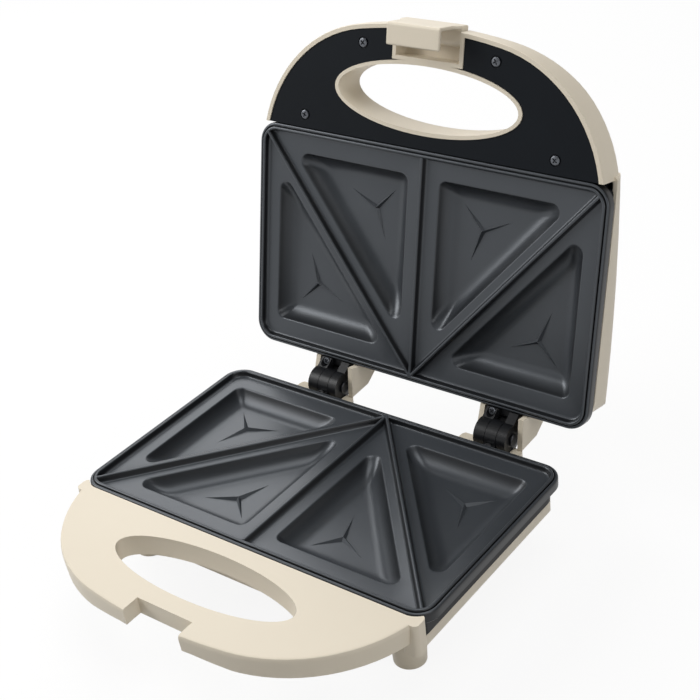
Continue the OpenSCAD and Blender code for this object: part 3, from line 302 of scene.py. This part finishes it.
# ------------------------------------------------------------------ materials
FLANK_SHADE_START, FLANK_SHADE_FULL = 0.15, 0.55     # steepness at which the painted shade on steep flanks starts and is full
SCUFF_ROUGHER = 0.12                     # how much rougher a rubbed line is


def linear(colour):
    """A colour as it reads on a screen, in the linear values that the shader takes."""
    return tuple(((c / 255 + 0.055) / 1.055) ** 2.4 if c > 10 else c / 255 / 12.92
                 for c in colour)


def blank_tree(owner):
    """The empty node tree of a material or world."""
    owner.use_nodes = True
    owner.node_tree.nodes.clear()
    return owner.node_tree


def surface(name, dark, light, rough, bump, grain_size, cloud_size=18.0, contrast=1.0, scuff=0.0,
            painted_flank_shade=None, **shader):
    """A surface of two close colours in slow patches, uneven gloss, fine grain and faint scuffs.

    Colours are as they read on a screen. rough is (lowest, highest), bump is the height of the
    grain in mm and grain_size is its spacing in mm. cloud_size is the patches in a metre. The
    colour given for steep flanks is painted shade: steep flanks are darkened towards it, on a mesh
    that says how steep it is. The rest goes to the shader.
    """
    material = bpy.data.materials.new(name)
    tree = blank_tree(material)
    patches = use_group(tree, clouds, Patches_per_metre=cloud_size, Contrast=contrast)
    colour = add(tree, "ShaderNodeMix",
                 {"Factor": patches, MIX_A: (*linear(dark), 1), MIX_B: (*linear(light), 1)},
                 data_type="RGBA").outputs[MIX_OUT]
    # Painted shade: the steeper a face, the more its colour goes to a near-black, in place of the
    # shade that falls on steep flanks.
    if painted_flank_shade:
        steep = add(tree, "ShaderNodeAttribute", attribute_name="steepness")
        share = add(tree, "ShaderNodeMapRange",
                    {"Value": steep.outputs["Fac"], "From Min": FLANK_SHADE_START,
                     "From Max": FLANK_SHADE_FULL})
        colour = add(tree, "ShaderNodeMix",
                     {"Factor": share.outputs[0], MIX_A: colour, MIX_B: (*linear(painted_flank_shade), 1)},
                     data_type="RGBA").outputs[MIX_OUT]
    gloss = add(tree, "ShaderNodeMapRange",
                {"Value": patches, "To Min": rough[0], "To Max": rough[1]}).outputs[0]
    if scuff:
        rubbed = use_group(tree, scuffs, Share=scuff)
        gloss = calc(tree, "MULTIPLY_ADD", rubbed, SCUFF_ROUGHER, gloss)
    height = use_group(tree, grain, Grains_per_metre=1 / (grain_size * MM))
    relief = add(tree, "ShaderNodeBump",
                 {"Height": height, "Strength": 1.0, "Distance": bump * MM})
    body = add(tree, "ShaderNodeBsdfPrincipled",
               {"Base Color": colour, "Roughness": gloss, "Normal": relief.outputs[0], **shader})
    add(tree, "ShaderNodeOutputMaterial", {"Surface": body.outputs[0]})
    return material


def mirror_level(level):
    """How strongly a plastic or painted face mirrors; 0.5 is plain plastic."""
    return {"Specular IOR Level": level}


def clear(share, coat=0.0):
    """How much light goes through, and how much lacquer lies on top."""
    return {"Transmission Weight": share, "Coat Weight": coat}


cream = surface("cream moulded plastic", (224, 213, 193), (230, 220, 201),
                rough=(0.42, 0.52), bump=0.006, grain_size=0.5)
satin_black = surface("satin black plastic", (12, 16, 21), (18, 23, 29),
                      rough=(0.34, 0.42), bump=0.004, grain_size=0.4, scuff=0.12,
                      **mirror_level(0.12))
band_black = surface("black heat-proof plastic", (12, 12, 15), (18, 18, 21),
                     rough=(0.42, 0.55), bump=0.008, grain_size=0.5, **mirror_level(0.2))
# The plates' steep flanks get painted shade: a near-black colour for the shade that falls on them.
non_stick = surface("grey non-stick coating", (65, 69, 74), (75, 79, 84),
                    rough=(0.29, 0.39), bump=0.008, grain_size=0.35, cloud_size=26.0, scuff=0.14,
                    painted_flank_shade=(26, 28, 31), Metallic=0.35)
painted_steel = surface("black painted steel", (16, 17, 19), (26, 27, 30),
                        rough=(0.30, 0.42), bump=0.006, grain_size=0.4, scuff=0.15,
                        **mirror_level(0.35))
zinc_steel = surface("zinc-plated steel", (150, 151, 153), (182, 183, 186),
                     rough=(0.24, 0.40), bump=0.002, grain_size=0.3, scuff=0.2, Metallic=1.0)
dark_pin = surface("dark browned steel", (60, 61, 64), (78, 79, 83),
                   rough=(0.28, 0.42), bump=0.003, grain_size=0.3, scuff=0.2, Metallic=0.8)
dark_screw = surface("black oxide steel", (84, 87, 92), (108, 111, 117),
                     rough=(0.28, 0.40), bump=0.003, grain_size=0.25, scuff=0.2, Metallic=0.7)
sheath_steel = surface("heat-tinted steel", (120, 108, 92), (150, 142, 130),
                       rough=(0.35, 0.5), bump=0.004, grain_size=0.3, cloud_size=60.0,
                       contrast=2.0, Metallic=1.0)
ceramic = surface("white ceramic", (226, 222, 212), (238, 235, 228),
                  rough=(0.5, 0.62), bump=0.004, grain_size=0.3)
rubber = surface("black rubber", (22, 22, 23), (34, 34, 35),
                 rough=(0.62, 0.8), bump=0.02, grain_size=0.6)
red_lens = surface("red lens", (120, 8, 6), (148, 14, 10),
                   rough=(0.12, 0.2), bump=0.001, grain_size=0.8, **clear(0.2, coat=0.15))
green_lens = surface("green lens", (8, 92, 24), (14, 112, 34),
                     rough=(0.12, 0.2), bump=0.001, grain_size=0.8, **clear(0.2, coat=0.15))
bulb_glass = surface("lamp glass", (230, 160, 110), (240, 176, 130),
                     rough=(0.05, 0.1), bump=0.001, grain_size=0.8, **clear(0.8))

FINISHES = [
    (cream, ["lower_housing", "upper_housing", "latch"]),
    (satin_black, ["lid_cover"]),
    (band_black, ["lower_frame"]),
    (non_stick, ["lower_plate", "upper_plate"]),
    (painted_steel, ["hinge_arms_lower", "hinge_arms_upper"]),
    (dark_pin, ["hinge_pins"]),
    (dark_screw, ["cover_screws"]),
    (zinc_steel, ["lower_heater_clamps", "upper_heater_clamps", "lower_reflector",
                  "upper_reflector", "lower_plate_screws", "upper_plate_screws", "thermal_fuse",
                  "lower_hinge_screws", "upper_hinge_screws", "latch_pin"]),
    (sheath_steel, ["lower_heater", "upper_heater"]),
    (ceramic, ["lower_heater_ends", "upper_heater_ends", "thermostat", "lamp_holder"]),
    (rubber, ["foot_pads", "cord_bush"]),
    (red_lens, ["power_lens"]),
    (green_lens, ["ready_lens"]),
    (bulb_glass, ["lamp_bulbs"]),
]
for finish, nodes in FINISHES:
    for node in nodes:
        mesh = frame["nodes"][node].data
        mesh.materials.clear()
        mesh.materials.append(finish)

# ------------------------------------------------------------------ plate profiles, mm
# from the crest inwards: distance, height from the crest
BEAD = [(0.0, 0.0), (0.3, -0.05), (0.6, -0.2), (0.85, -0.47), (1.0, -0.95), (1.12, -1.9),
        (1.3, -2.7), (1.65, -3.2), (2.2, -3.44), (3.0, LAND)]
# from the crest outwards and down, round the skirt's lower edge and up inside it
OUTER_RIM = [(0.3, -0.05), (0.6, -0.2), (0.85, -0.47), (1.0, -0.95), (1.06, -1.9), (1.5, -1.95),
             (1.56, -1.1), (1.68, -0.86), (1.9, -0.8), (2.3, -0.83), (2.7, -1.0), (2.95, -1.3),
             (FLANGE, -1.8), (FLANGE, -3.4), (FLANGE, -SKIRT + 0.4), (FLANGE - 0.3, -SKIRT),
             (FLANGE - 1.2, -SKIRT), (FLANGE - SKIRT_T, -SKIRT + 0.3),
             (FLANGE - SKIRT_T, LAND - PLATE_T)]
# from a ridge's middle to one side: distance, height from the crest
RIDGE = [(0.0, 0.0), (0.35, -0.02), (0.65, -0.16), (0.9, -0.5), (1.15, -1.2), (1.45, -2.2),
         (1.8, -2.95), (2.2, -3.35), (2.8, LAND)]
# from a pocket's edge inwards: distance, height from the land
POCKET = [(-0.7, 0.0), (-0.35, -0.05), (0.0, -0.24), (0.3, -0.65), (0.75, -1.45), (1.4, -2.5),
          (2.3, -3.75), (3.4, -5.0), (4.6, -6.1), (5.9, -7.0), (7.3, -7.65), (8.7, -8.05),
          (10.0, -8.24), (POCKET_FLOOR_IN, -POCKET_DEPTH)]

# each ridge from its rear end, where all three meet, to its front end
REAR_MIDDLE = (0, PLATE_D)
RIDGE_RUNS = [(REAR_MIDDLE, (HALF_W - RIDGE_END, RIDGE_END)),
              (REAR_MIDDLE, (RIDGE_END - HALF_W, RIDGE_END)),
              (REAR_MIDDLE, (0, 0))]
# the way each pocket runs from its right angle, in X and Y, and where that right angle is
POCKETS = [(1, 1, POCKET_SIDE_GAP, POCKET_RIM_GAP),
           (-1, 1, -POCKET_SIDE_GAP, POCKET_RIM_GAP),
           (-1, -1, HALF_W - POCKET_SIDE_GAP, PLATE_D - POCKET_RIM_GAP),
           (1, -1, POCKET_SIDE_GAP - HALF_W, PLATE_D - POCKET_RIM_GAP)]

RIM_STEP, RIDGE_STEP, POCKET_STEP = 2.0, 1.5, 3.0    # longest sides of the plate's triangles there
CREST_STEPS, POCKET_STEPS = 10, 8    # sides in the bend of a corner
RIDGE_OVERRUN = 4                    # steps that a ridge's lines run on for, past its front end
RIDGE_STOP = 0.12                    # how far inside the crest they stop all the same
NARROWEST_VALLEY = 0.35              # keeps a star's valley from running far out
TRIANGLES_INSIDE, CLOSE_POINTS = 1, 1e-4     # what the triangulation gives, and its precision


# ------------------------------------------------------------------ cooking plates
def arc(cx, cy, r, start, end, steps):
    """Points along an arc, from one angle to another in degrees."""
    turn = [math.radians(start + (end - start) * k / steps) for k in range(steps + 1)]
    return [(cx + r * math.cos(a), cy + r * math.sin(a)) for a in turn]


def spaced(outline, step, like=None):
    """A closed outline with extra points so that no side is longer than step.

    Where another outline is given, the sides of that one are measured, so both get as many points.
    """
    measured = like or outline
    out = []
    for k, (ax, ay) in enumerate(outline):
        bx, by = outline[k + 1 - len(outline)]
        (px, py), (qx, qy) = measured[k], measured[k + 1 - len(measured)]
        n = max(1, math.ceil(math.hypot(qx - px, qy - py) / step))
        out += [(ax + (bx - ax) * i / n, ay + (by - ay) * i / n) for i in range(n)]
    return out


def crest_outline(out):
    """The rim's crest line, moved outwards by out."""
    x, y0, y1, r = HALF_W - CORNER_R, CORNER_R, PLATE_D - CORNER_R, CORNER_R + out
    corners = [(x, y0, -90), (x, y1, 0), (-x, y1, 90), (-x, y0, 180)]
    return [p for cx, cy, start in corners
            for p in arc(cx, cy, r, start, start + 90, CREST_STEPS)]


def crest_distance(x, y):
    """How far a point is outside the crest line; negative inside."""
    qx = abs(x) - (HALF_W - CORNER_R)
    qy = abs(y - PLATE_D / 2) - (PLATE_D / 2 - CORNER_R)
    return math.hypot(max(qx, 0), max(qy, 0)) + min(max(qx, qy), 0) - CORNER_R


def ridge_distance(x, y):
    """How far a point is from the middle of the nearest ridge."""
    distances = []
    for (ax, ay), (bx, by) in RIDGE_RUNS:
        dx, dy = bx - ax, by - ay
        t = max(0, min(1, ((x - ax) * dx + (y - ay) * dy) / (dx * dx + dy * dy)))
        distances.append(math.hypot(x - ax - t * dx, y - ay - t * dy))
    return min(distances)


def height_at(profile, distance):
    """Height of a profile at a distance, on the straight line between its points."""
    if distance <= profile[0][0]:
        return profile[0][1]
    for (a, za), (b, zb) in zip(profile, profile[1:]):
        if distance <= b:
            return za + (zb - za) * (distance - a) / (b - a)
    return profile[-1][1]


def rib_height(x, y):
    """Height of rim and ridges at a point inside the crest line."""
    return max(height_at(BEAD, -crest_distance(x, y)), height_at(RIDGE, ridge_distance(x, y)))


diagonal = math.hypot(PLATE_D, HALF_W)
slant = (PLATE_D / diagonal, HALF_W / diagonal)      # outward normal of a pocket's long side
pocket_reach = ((PLATE_D * HALF_W - PLATE_D * POCKET_SIDE_GAP - HALF_W * POCKET_RIM_GAP) / diagonal
                - POCKET_DIAG_GAP)                   # from its right angle to its long side


def pocket_corners(m):
    """Corners of a pocket, from its right angle, with all sides moved in by m."""
    return [(m, m), ((pocket_reach - m - slant[1] * m) / slant[0], m),
            (m, (pocket_reach - m - slant[0] * m) / slant[1])]


def pocket_outline(m):
    """A pocket's outline moved in by m; its corners grow tighter towards the floor."""
    r = POCKET_R - m if m < 0 else max(POCKET_MIN_R, POCKET_R - POCKET_R_LOSS * m)
    a = math.degrees(math.atan2(slant[1], slant[0]))
    turns = [(180, 270), (-90, a), (a, 180)]
    return [p for (cx, cy), (start, end) in zip(pocket_corners(m + r), turns)
            for p in arc(cx, cy, r, start, end, POCKET_STEPS)]


def star_outline():
    """Middle of the three-armed star, and its tips and valleys in their order round it."""
    middle = Vector((STAR_OFF, STAR_OFF))
    tips = [middle + (Vector(corner) - middle).normalized() * arm
            for corner, arm in zip(pocket_corners(POCKET_R), STAR_ARMS)]
    tips.sort(key=lambda p: math.atan2(p.y - middle.y, p.x - middle.x))
    valleys = []
    for a, b in zip(tips, tips[1:] + tips[:1]):
        u, v = (a - middle).normalized(), (b - middle).normalized()
        half_angle = math.acos(max(-1, min(1, u.dot(v)))) / 2
        out = STAR_HALF / max(NARROWEST_VALLEY, math.sin(half_angle))
        valleys.append(middle + (u + v).normalized() * out)
    return middle, tips, valleys


class Drawing:
    """Points with their heights, and the lines that the triangles between them follow."""

    def __init__(self):
        self.points, self.heights, self.edges = [], [], []

    def point(self, x, y, height):
        self.points.append(Vector((x, y)))
        self.heights.append(height)
        return len(self.points) - 1

    def line(self, outline, height, closed=True):
        """Draws a line at one height, or at the height that a function gives for each place."""
        row = [self.point(x, y, height(x, y) if callable(height) else height) for x, y in outline]
        self.edges.extend(zip(row, row[1:] + row[:1] if closed else row[1:]))
        return row


def draw_ridge(drawing, start, end):
    """Lines along a ridge: its middle, and one on each side for every point of its profile."""
    (ax, ay), (bx, by) = start, end
    length = math.hypot(bx - ax, by - ay)
    ux, uy = (bx - ax) / length, (by - ay) / length
    for aside, _ in RIDGE:
        for side in ((-1, 1) if aside else (1,)):
            run = []
            for k in range(int(length / RIDGE_STEP) + RIDGE_OVERRUN):
                x = ax + ux * RIDGE_STEP * k - uy * side * aside
                y = ay + uy * RIDGE_STEP * k + ux * side * aside
                if crest_distance(x, y) < -RIDGE_STOP:
                    run.append((x, y))
            drawing.line(run, rib_height, closed=False)


def draw_pocket(drawing, way_x, way_y, x0, y0):
    """A pocket's walls as outlines one inside the other, and the star that rises from its floor."""
    def placed(p):
        return x0 + way_x * p[0], y0 + way_y * p[1]

    for m, z in POCKET:
        drawing.line([placed(p) for p in spaced(pocket_outline(m), POCKET_STEP)], LAND + z)
    floor = LAND - POCKET_DEPTH
    middle, tips, valleys = star_outline()
    foot = drawing.line([placed(p) for pair in zip(tips, valleys) for p in pair], floor)
    peak = drawing.point(*placed(middle), floor + STAR_H)
    drawing.edges.extend((peak, k) for k in foot)


def plate_drawing():
    """The plate's face inside its crest; the crest's own points come first."""
    drawing = Drawing()
    for inwards, _ in BEAD:
        drawing.line(spaced(crest_outline(-inwards), RIM_STEP), rib_height)
    for start, end in RIDGE_RUNS:
        draw_ridge(drawing, start, end)
    for pocket in POCKETS:
        draw_pocket(drawing, *pocket)
    return drawing


def rim_band(bm, inner, outer):
    """Faces from one ring of the rim to the next."""
    for k in range(len(inner)):
        bm.faces.new([inner[k - 1], outer[k - 1], outer[k], inner[k]])


def plate_mesh(name, place, mirrored):
    """A plate as one closed shell: its face, the same face a wall lower, and the rim round both."""
    drawing = plate_drawing()
    crest = crest_outline(0)
    crest_count = len(spaced(crest, RIM_STEP))
    verts, _, faces, origins, _, _ = delaunay_2d_cdt(
        drawing.points, drawing.edges, [list(range(crest_count))], TRIANGLES_INSIDE, CLOSE_POINTS)
    face = [(v.x, v.y, max(drawing.heights[k] for k in origin) if origin
             else rib_height(v.x, v.y)) for v, origin in zip(verts, origins)]
    bm = bmesh.new()
    upper = [bm.verts.new(p) for p in face]
    lower = [bm.verts.new((x, y, z - PLATE_T)) for x, y, z in face]
    for f in faces:
        a, b, c = (face[k] for k in f[:3])
        turned = (b[0] - a[0]) * (c[1] - a[1]) - (b[1] - a[1]) * (c[0] - a[0]) < 0
        loop = list(reversed(f)) if turned else list(f)
        bm.faces.new([upper[k] for k in loop])
        bm.faces.new([lower[k] for k in reversed(loop)])
    where = {k: i for i, origin in enumerate(origins) for k in origin}
    ring = [upper[where[k]] for k in range(crest_count)]
    for out, z in OUTER_RIM:
        moved = spaced(crest_outline(out), RIM_STEP, like=crest)
        fresh = [bm.verts.new((x, y, z)) for x, y in moved]
        rim_band(bm, ring, fresh)
        ring = fresh
    rim_band(bm, ring, [lower[where[k]] for k in range(crest_count)])
    bmesh.ops.delete(bm, geom=[v for v in bm.verts if not v.link_faces], context="VERTS")
    bm.normal_update()
    # How steep each point is, which sets where the painted shade goes on the flanks.
    steep = bm.verts.layers.float.new("steepness")
    for v in bm.verts:
        v[steep] = 1 - abs(v.normal.z)
    bmesh.ops.transform(bm, matrix=place, verts=bm.verts)
    if mirrored:
        bmesh.ops.reverse_faces(bm, faces=bm.faces)
    mesh = mesh_from(bm, name)
    mesh.materials.append(non_stick)
    return smoothed(mesh, PLATE_SHARP)


shown(plate_mesh("lower_plate_cast", to_base, False), "lower_plate_cast", "base",
      ["lower_plate"])
shown(plate_mesh("upper_plate_cast", to_lid @ flip, True), "upper_plate_cast", "lid",
      ["upper_plate"])

# ------------------------------------------------------------------ screws
POINT = 0.6                          # chamfer at the shank's end, of its radius
# a screw's head from its underside to its top, as shares of its radius and height
HEAD = [(0.94, 0), (1, 0.12), (1, 0.5), (0.92, 0.8), (0.78, 1)]
# the cross recess, as shares of the head's radius; its floor is smaller than its mouth
CROSS_REACH, CROSS_HALF, CROSS_DEPTH, CROSS_FLOOR = 0.62, 0.15, 0.45, 0.7


def band(bm, low_ring, high_ring):
    """Faces from one ring of a turned or straight-sided form to the next."""
    for k in range(len(low_ring)):
        bm.faces.new([low_ring[k - 1], low_ring[k], high_ring[k], high_ring[k - 1]])


def turned_rings(bm, profile, steps=32):
    """Rings of a turned shape joined one to the next; gives the first and the last ring."""
    turns = [math.tau * k / steps for k in range(steps)]
    rings = [[bm.verts.new((r * math.cos(a), r * math.sin(a), z)) for a in turns]
             for r, z in profile]
    for low_ring, high_ring in zip(rings, rings[1:]):
        band(bm, low_ring, high_ring)
    return rings[0], rings[-1]


def screw_mesh(head_r, head_h, shank_r, shank_l):
    """A round-headed screw with a cross recess, seated on z = 0 with its shank below; mm."""
    bm = bmesh.new()
    shank = [(POINT * shank_r, -shank_l), (shank_r, -shank_l + POINT * shank_r), (shank_r, 0)]
    tip, top = turned_rings(bm, shank + [(r * head_r, z * head_h) for r, z in HEAD])
    bm.faces.new(list(reversed(tip)))
    reach, half = CROSS_REACH * head_r, CROSS_HALF * head_r
    cross = []
    for ux, uy in ((1, 0), (0, 1), (-1, 0), (0, -1)):
        cross += [(reach * ux + half * uy, reach * uy - half * ux),
                  (reach * ux - half * uy, reach * uy + half * ux),
                  (half * ux - half * uy, half * uy + half * ux)]
    mouth = [bm.verts.new((x, y, head_h)) for x, y in cross]
    floor = [bm.verts.new((CROSS_FLOOR * x, CROSS_FLOOR * y, head_h - CROSS_DEPTH * head_r))
             for x, y in cross]
    band(bm, mouth, floor)
    bm.faces.new(floor)
    rims = [bm.edges.get((ring[k - 1], ring[k]))
            for ring in (top, mouth) for k in range(len(ring))]
    bmesh.ops.bridge_loops(bm, edges=rims)
    bmesh.ops.recalc_face_normals(bm, faces=bm.faces)
    bmesh.ops.scale(bm, vec=(MM, MM, MM), verts=bm.verts)
    return smoothed(mesh_from(bm, "screw"), SCREW_SHARP)


def marked_group():
    """Sets a screw on every mark, standing along the mark's own direction and turned at random."""
    tree = bpy.data.node_groups.new("screws on marks", "GeometryNodeTree")
    for label, kind in (("Marks", "Geometry"), ("Screw", "Object"), ("Seed", "Int"),
                        ("Finish", "Material")):
        tree.interface.new_socket(label, in_out="INPUT", socket_type="NodeSocket" + kind)
    tree.interface.new_socket("Screws", in_out="OUTPUT", socket_type="NodeSocketGeometry")
    given, result = tree.nodes.new("NodeGroupInput"), tree.nodes.new("NodeGroupOutput")
    shape = add(tree, "GeometryNodeObjectInfo", {"Object": given.outputs["Screw"]})
    facing = add(tree, "GeometryNodeInputNamedAttribute", {"Name": "outward"},
                 data_type="FLOAT_VECTOR")
    upright = add(tree, "FunctionNodeAlignRotationToVector",
                  {"Vector": facing.outputs["Attribute"]}, axis="Z")
    chance = add(tree, "FunctionNodeRandomValue",
                 {RANDOM_MAX: math.tau, "Seed": given.outputs["Seed"]}, data_type="FLOAT")
    twist = add(tree, "FunctionNodeAxisAngleToRotation", {"Angle": chance.outputs[RANDOM_OUT]})
    turned = add(tree, "FunctionNodeRotateRotation",
                 {"Rotation": upright.outputs[0], "Rotate By": twist.outputs[0]},
                 rotation_space="LOCAL")
    placed = add(tree, "GeometryNodeInstanceOnPoints",
                 {"Points": given.outputs["Marks"], "Instance": shape.outputs["Geometry"],
                  "Rotation": turned.outputs[0]})
    real = add(tree, "GeometryNodeRealizeInstances", {"Geometry": placed.outputs[0]})
    painted = add(tree, "GeometryNodeSetMaterial",
                  {"Geometry": real.outputs[0], "Material": given.outputs["Finish"]})
    tree.links.new(painted.outputs[0], result.inputs["Screws"])
    return tree


marked = marked_group()


def screws_at(marks, seed, finish, sizes):
    """Mesh of screws of one size on marks, each a (place, outward direction) pair."""
    shape = linked("screw_shape", screw_mesh(*sizes))
    points = bpy.data.meshes.new("marks")
    points.from_pydata([place for place, _ in marks], [], [])
    outward = points.attributes.new("outward", "FLOAT_VECTOR", "POINT")
    for k, (_, direction) in enumerate(marks):
        outward.data[k].vector = direction
    holder = linked("marks", points)
    modifier = holder.modifiers.new("screws", "NODES")
    modifier.node_group = marked
    values = {"Screw": shape, "Seed": seed, "Finish": finish}
    for item in marked.interface.items_tree:
        if item.name in values:
            modifier[item.identifier] = values[item.name]
    mesh = baked(holder)
    bpy.data.objects.remove(shape)
    return mesh


def joined(name, *meshes):
    """Several meshes of one finish as one mesh."""
    bm = bmesh.new()
    for mesh in meshes:
        bm.from_mesh(mesh)
    whole = mesh_from(bm, name)
    for material in meshes[0].materials:
        whole.materials.append(material)
    return smoothed(whole, SCREW_SHARP)


def lid_mark(x, y, z):
    """A place on the shut lid, facing the lower plate, carried to the open lid."""
    return to_lid @ Vector((x, y, z)), to_lid.to_3x3() @ Vector((0, 0, -1 / MM))


def base_mark(x, y, z, up):
    """A place on the base, facing up (1) or down (-1)."""
    return to_base @ Vector((x, y, z)), Vector((0, 0, up))


def cover_marks(z):
    """The four places of the cover's screws, at one height."""
    return [lid_mark(side * x, -y, z) for side in (-1, 1) for x, y in COVER_SCREW_SPOTS]


shown(screws_at(cover_marks(COVER_BACK - COVER_SCREW_PROUD), 3, dark_screw, COVER_SCREW_SIZE),
      "cover_screw_set", "lid", ["cover_screws"])
strip_x, strip_y, strip_z = STRIP_SCREW
strip_marks = [lid_mark(x + strip_x, strip_y, strip_z - RIM_GAP) for x in HINGES]
shown(screws_at(strip_marks, 11, dark_screw, STRIP_SCREW_SIZE),
      "upper_arm_screw_set", "lid", ["upper_hinge_screws"])
tongue_x, tongue_y, tongue_z = TONGUE_SCREW
tongue_marks = [base_mark(x + tongue_x, tongue_y, tongue_z, 1) for x in HINGES]
block_x, block_y, block_z = BLOCK_SCREW
block_marks = [base_mark(x + block_x, block_y, block_z, -1) for x in HINGES]
shown(joined("lower_arm_screws",
             screws_at(tongue_marks, 5, zinc_steel, TONGUE_SCREW_SIZE),
             screws_at(block_marks, 8, zinc_steel, BLOCK_SCREW_SIZE)),
      "lower_arm_screw_set", "base", ["lower_hinge_screws"])


# ------------------------------------------------------------------ housings
def round_cutter(marks, r, reach, name):
    """Discs of radius r that reach this far to both sides of the marks, as one object; mm."""
    bm = bmesh.new()
    for place, direction in marks:
        turn = direction.to_track_quat("Z", "Y").to_matrix().to_4x4()
        bmesh.ops.create_cone(bm, cap_ends=True, segments=40, radius1=r * MM, radius2=r * MM,
                              depth=2 * reach * MM, matrix=Matrix.Translation(place) @ turn)
    return linked(name, mesh_from(bm, name))


pin_mark = (Vector(joints["latch_pivot"]["pos_m"]), Vector((1, 0, 0)))
rounded_copy("lower_housing", "base", cream, 0.7)
rounded_copy("upper_housing", "lid", cream, 0.6)
rounded_copy("lid_cover", "lid", satin_black, 0.35,
             cutters=[round_cutter(cover_marks(COVER_BACK), SEAT_R, SEAT_DEPTH, "screw_seats")])
rounded_copy("lower_frame", "base", band_black, 0.4)
softened_copy("latch", "latch", cream, voxel=0.35, passes=14,
              bore=round_cutter([pin_mark], PIN_BORE_R, PIN_BORE_REACH, "pin_bore"))
rounded_copy("hinge_arms_lower", "base", painted_steel, 0.4)
rounded_copy("hinge_arms_upper", "lid", painted_steel, 0.4)
rounded_copy("foot_pads", "base", rubber, 0.5)
rounded_copy("hinge_pins", "base", dark_pin, 0.3)
rounded_copy("cord_bush", "base", rubber, 0.4)
rounded_copy("power_lens", "lid", red_lens, 0.6, segments=4)
rounded_copy("ready_lens", "lid", green_lens, 0.6, segments=4)

# ------------------------------------------------------------------ stage, light, camera; metres
FLOOR_MIDDLE, FLOOR_FLAT = 0.9, 4.2  # radius of its middle face, and of its flat
COVE_R, WALL_TOP = 0.8, 1.6          # the bend at its edge, and the top of the wall there
FLOOR_SIDES = 96
FLOOR_DROP = 0.0002                  # under the foot pads
FLOOR_GREY, FLOOR_WHITE = 0.5, 0.95  # for the light that it throws back, and where it is seen
FLOOR_GLOW = 0.9                     # share of its own light where it is seen
ROOM_COLOUR, ROOM_LIGHT = (1.0, 0.99, 0.975, 1), 0.15
LAMP_AIM = (0, 0, 0.1)
LAMPS = [                            # name, place, side of the square, watts
    ("key", (-1.2, -0.6, 0.95), 0.9, 17),
    ("back", (-0.85, 0.95, 1.1), 1.0, 10),
    ("top", (0.25, 0.0, 1.5), 0.9, 7),
    ("side", (1.3, -0.3, 0.6), 0.8, 4.5),
]
CAMERA_PLACE = (0.409013, -0.399177, 0.441279)       # from the plates' zero point
CAMERA_AIM = (0.034527, 0.060, 0.089665)
CAMERA_ROLL = math.radians(-6.189)
CAMERA_LENS, CAMERA_SENSOR = 72.60, 36               # mm


def floor_material():
    """Where it is seen, white mostly of its own light; grey in the light that it throws back."""
    material = bpy.data.materials.new("white floor")
    tree = blank_tree(material)
    ray = add(tree, "ShaderNodeLightPath").outputs
    straight_or_mirrored = calc(tree, "MAXIMUM", ray["Is Camera Ray"], ray["Is Glossy Ray"])
    seen = calc(tree, "MAXIMUM", straight_or_mirrored, ray["Is Transmission Ray"])
    grey = add(tree, "ShaderNodeBsdfDiffuse", {"Color": (FLOOR_GREY, FLOOR_GREY, FLOOR_GREY, 1)})
    matt = add(tree, "ShaderNodeBsdfDiffuse",
               {"Color": (FLOOR_WHITE, FLOOR_WHITE, FLOOR_WHITE, 1)})
    glow = add(tree, "ShaderNodeEmission", {"Color": (1, 1, 1, 1), "Strength": 1.0})
    white = add(tree, "ShaderNodeMixShader",
                {0: FLOOR_GLOW, 1: matt.outputs[0], 2: glow.outputs[0]})
    mix = add(tree, "ShaderNodeMixShader", {0: seen, 1: grey.outputs[0], 2: white.outputs[0]})
    add(tree, "ShaderNodeOutputMaterial", {"Surface": mix.outputs[0]})
    return material


def stage_floor():
    """A round table top that turns up into a low wall, as one white sweep."""
    cove = [(FLOOR_FLAT + COVE_R * math.sin(a), COVE_R - COVE_R * math.cos(a))
            for a in (math.radians(degrees) for degrees in range(0, 91, 10))]
    profile = [(FLOOR_MIDDLE, 0.0)] + cove + [(FLOOR_FLAT + COVE_R, WALL_TOP)]
    bm = bmesh.new()
    middle, _ = turned_rings(bm, profile, FLOOR_SIDES)
    bm.faces.new(middle)
    bmesh.ops.recalc_face_normals(bm, faces=bm.faces)
    mesh = mesh_from(bm, "floor")
    mesh.shade_smooth()
    floor = linked("floor", mesh)
    floor.location.z = -FLOOR_DROP
    mesh.materials.append(floor_material())


def even_world():
    """Weak even light from all round."""
    scene.world = bpy.data.worlds.new("even room")
    tree = blank_tree(scene.world)
    room = add(tree, "ShaderNodeBackground", {"Color": ROOM_COLOUR, "Strength": ROOM_LIGHT})
    add(tree, "ShaderNodeOutputWorld", {"Surface": room.outputs[0]})


def softbox(name, place, side, watts):
    """A square lamp, facing the toaster."""
    lamp = bpy.data.lights.new(name, "AREA")
    lamp.shape, lamp.size, lamp.energy = "SQUARE", side, watts
    holder = linked(name, lamp)
    holder.location = place
    holder.rotation_mode = "QUATERNION"
    holder.rotation_quaternion = (Vector(LAMP_AIM) - Vector(place)).to_track_quat("-Z", "Y")


def camera():
    """At the place, turn and lens that show the toaster from its front right."""
    position, target = plate_zero + Vector(CAMERA_PLACE), plate_zero + Vector(CAMERA_AIM)
    back = (position - target).normalized()
    right = Vector((0, 0, 1)).cross(back).normalized()
    up = back.cross(right)
    turned_right = math.cos(CAMERA_ROLL) * right + math.sin(CAMERA_ROLL) * up
    turned_up = -math.sin(CAMERA_ROLL) * right + math.cos(CAMERA_ROLL) * up
    data = bpy.data.cameras.new("camera")
    data.lens, data.sensor_width = CAMERA_LENS, CAMERA_SENSOR
    view = linked("camera", data)
    turn = Matrix((turned_right, turned_up, back)).transposed().to_4x4()
    view.matrix_world = Matrix.Translation(position) @ turn
    scene.camera = view


stage_floor()
even_world()
for lamp_row in LAMPS:
    softbox(*lamp_row)
camera()
scene.view_settings.view_transform = "Standard"
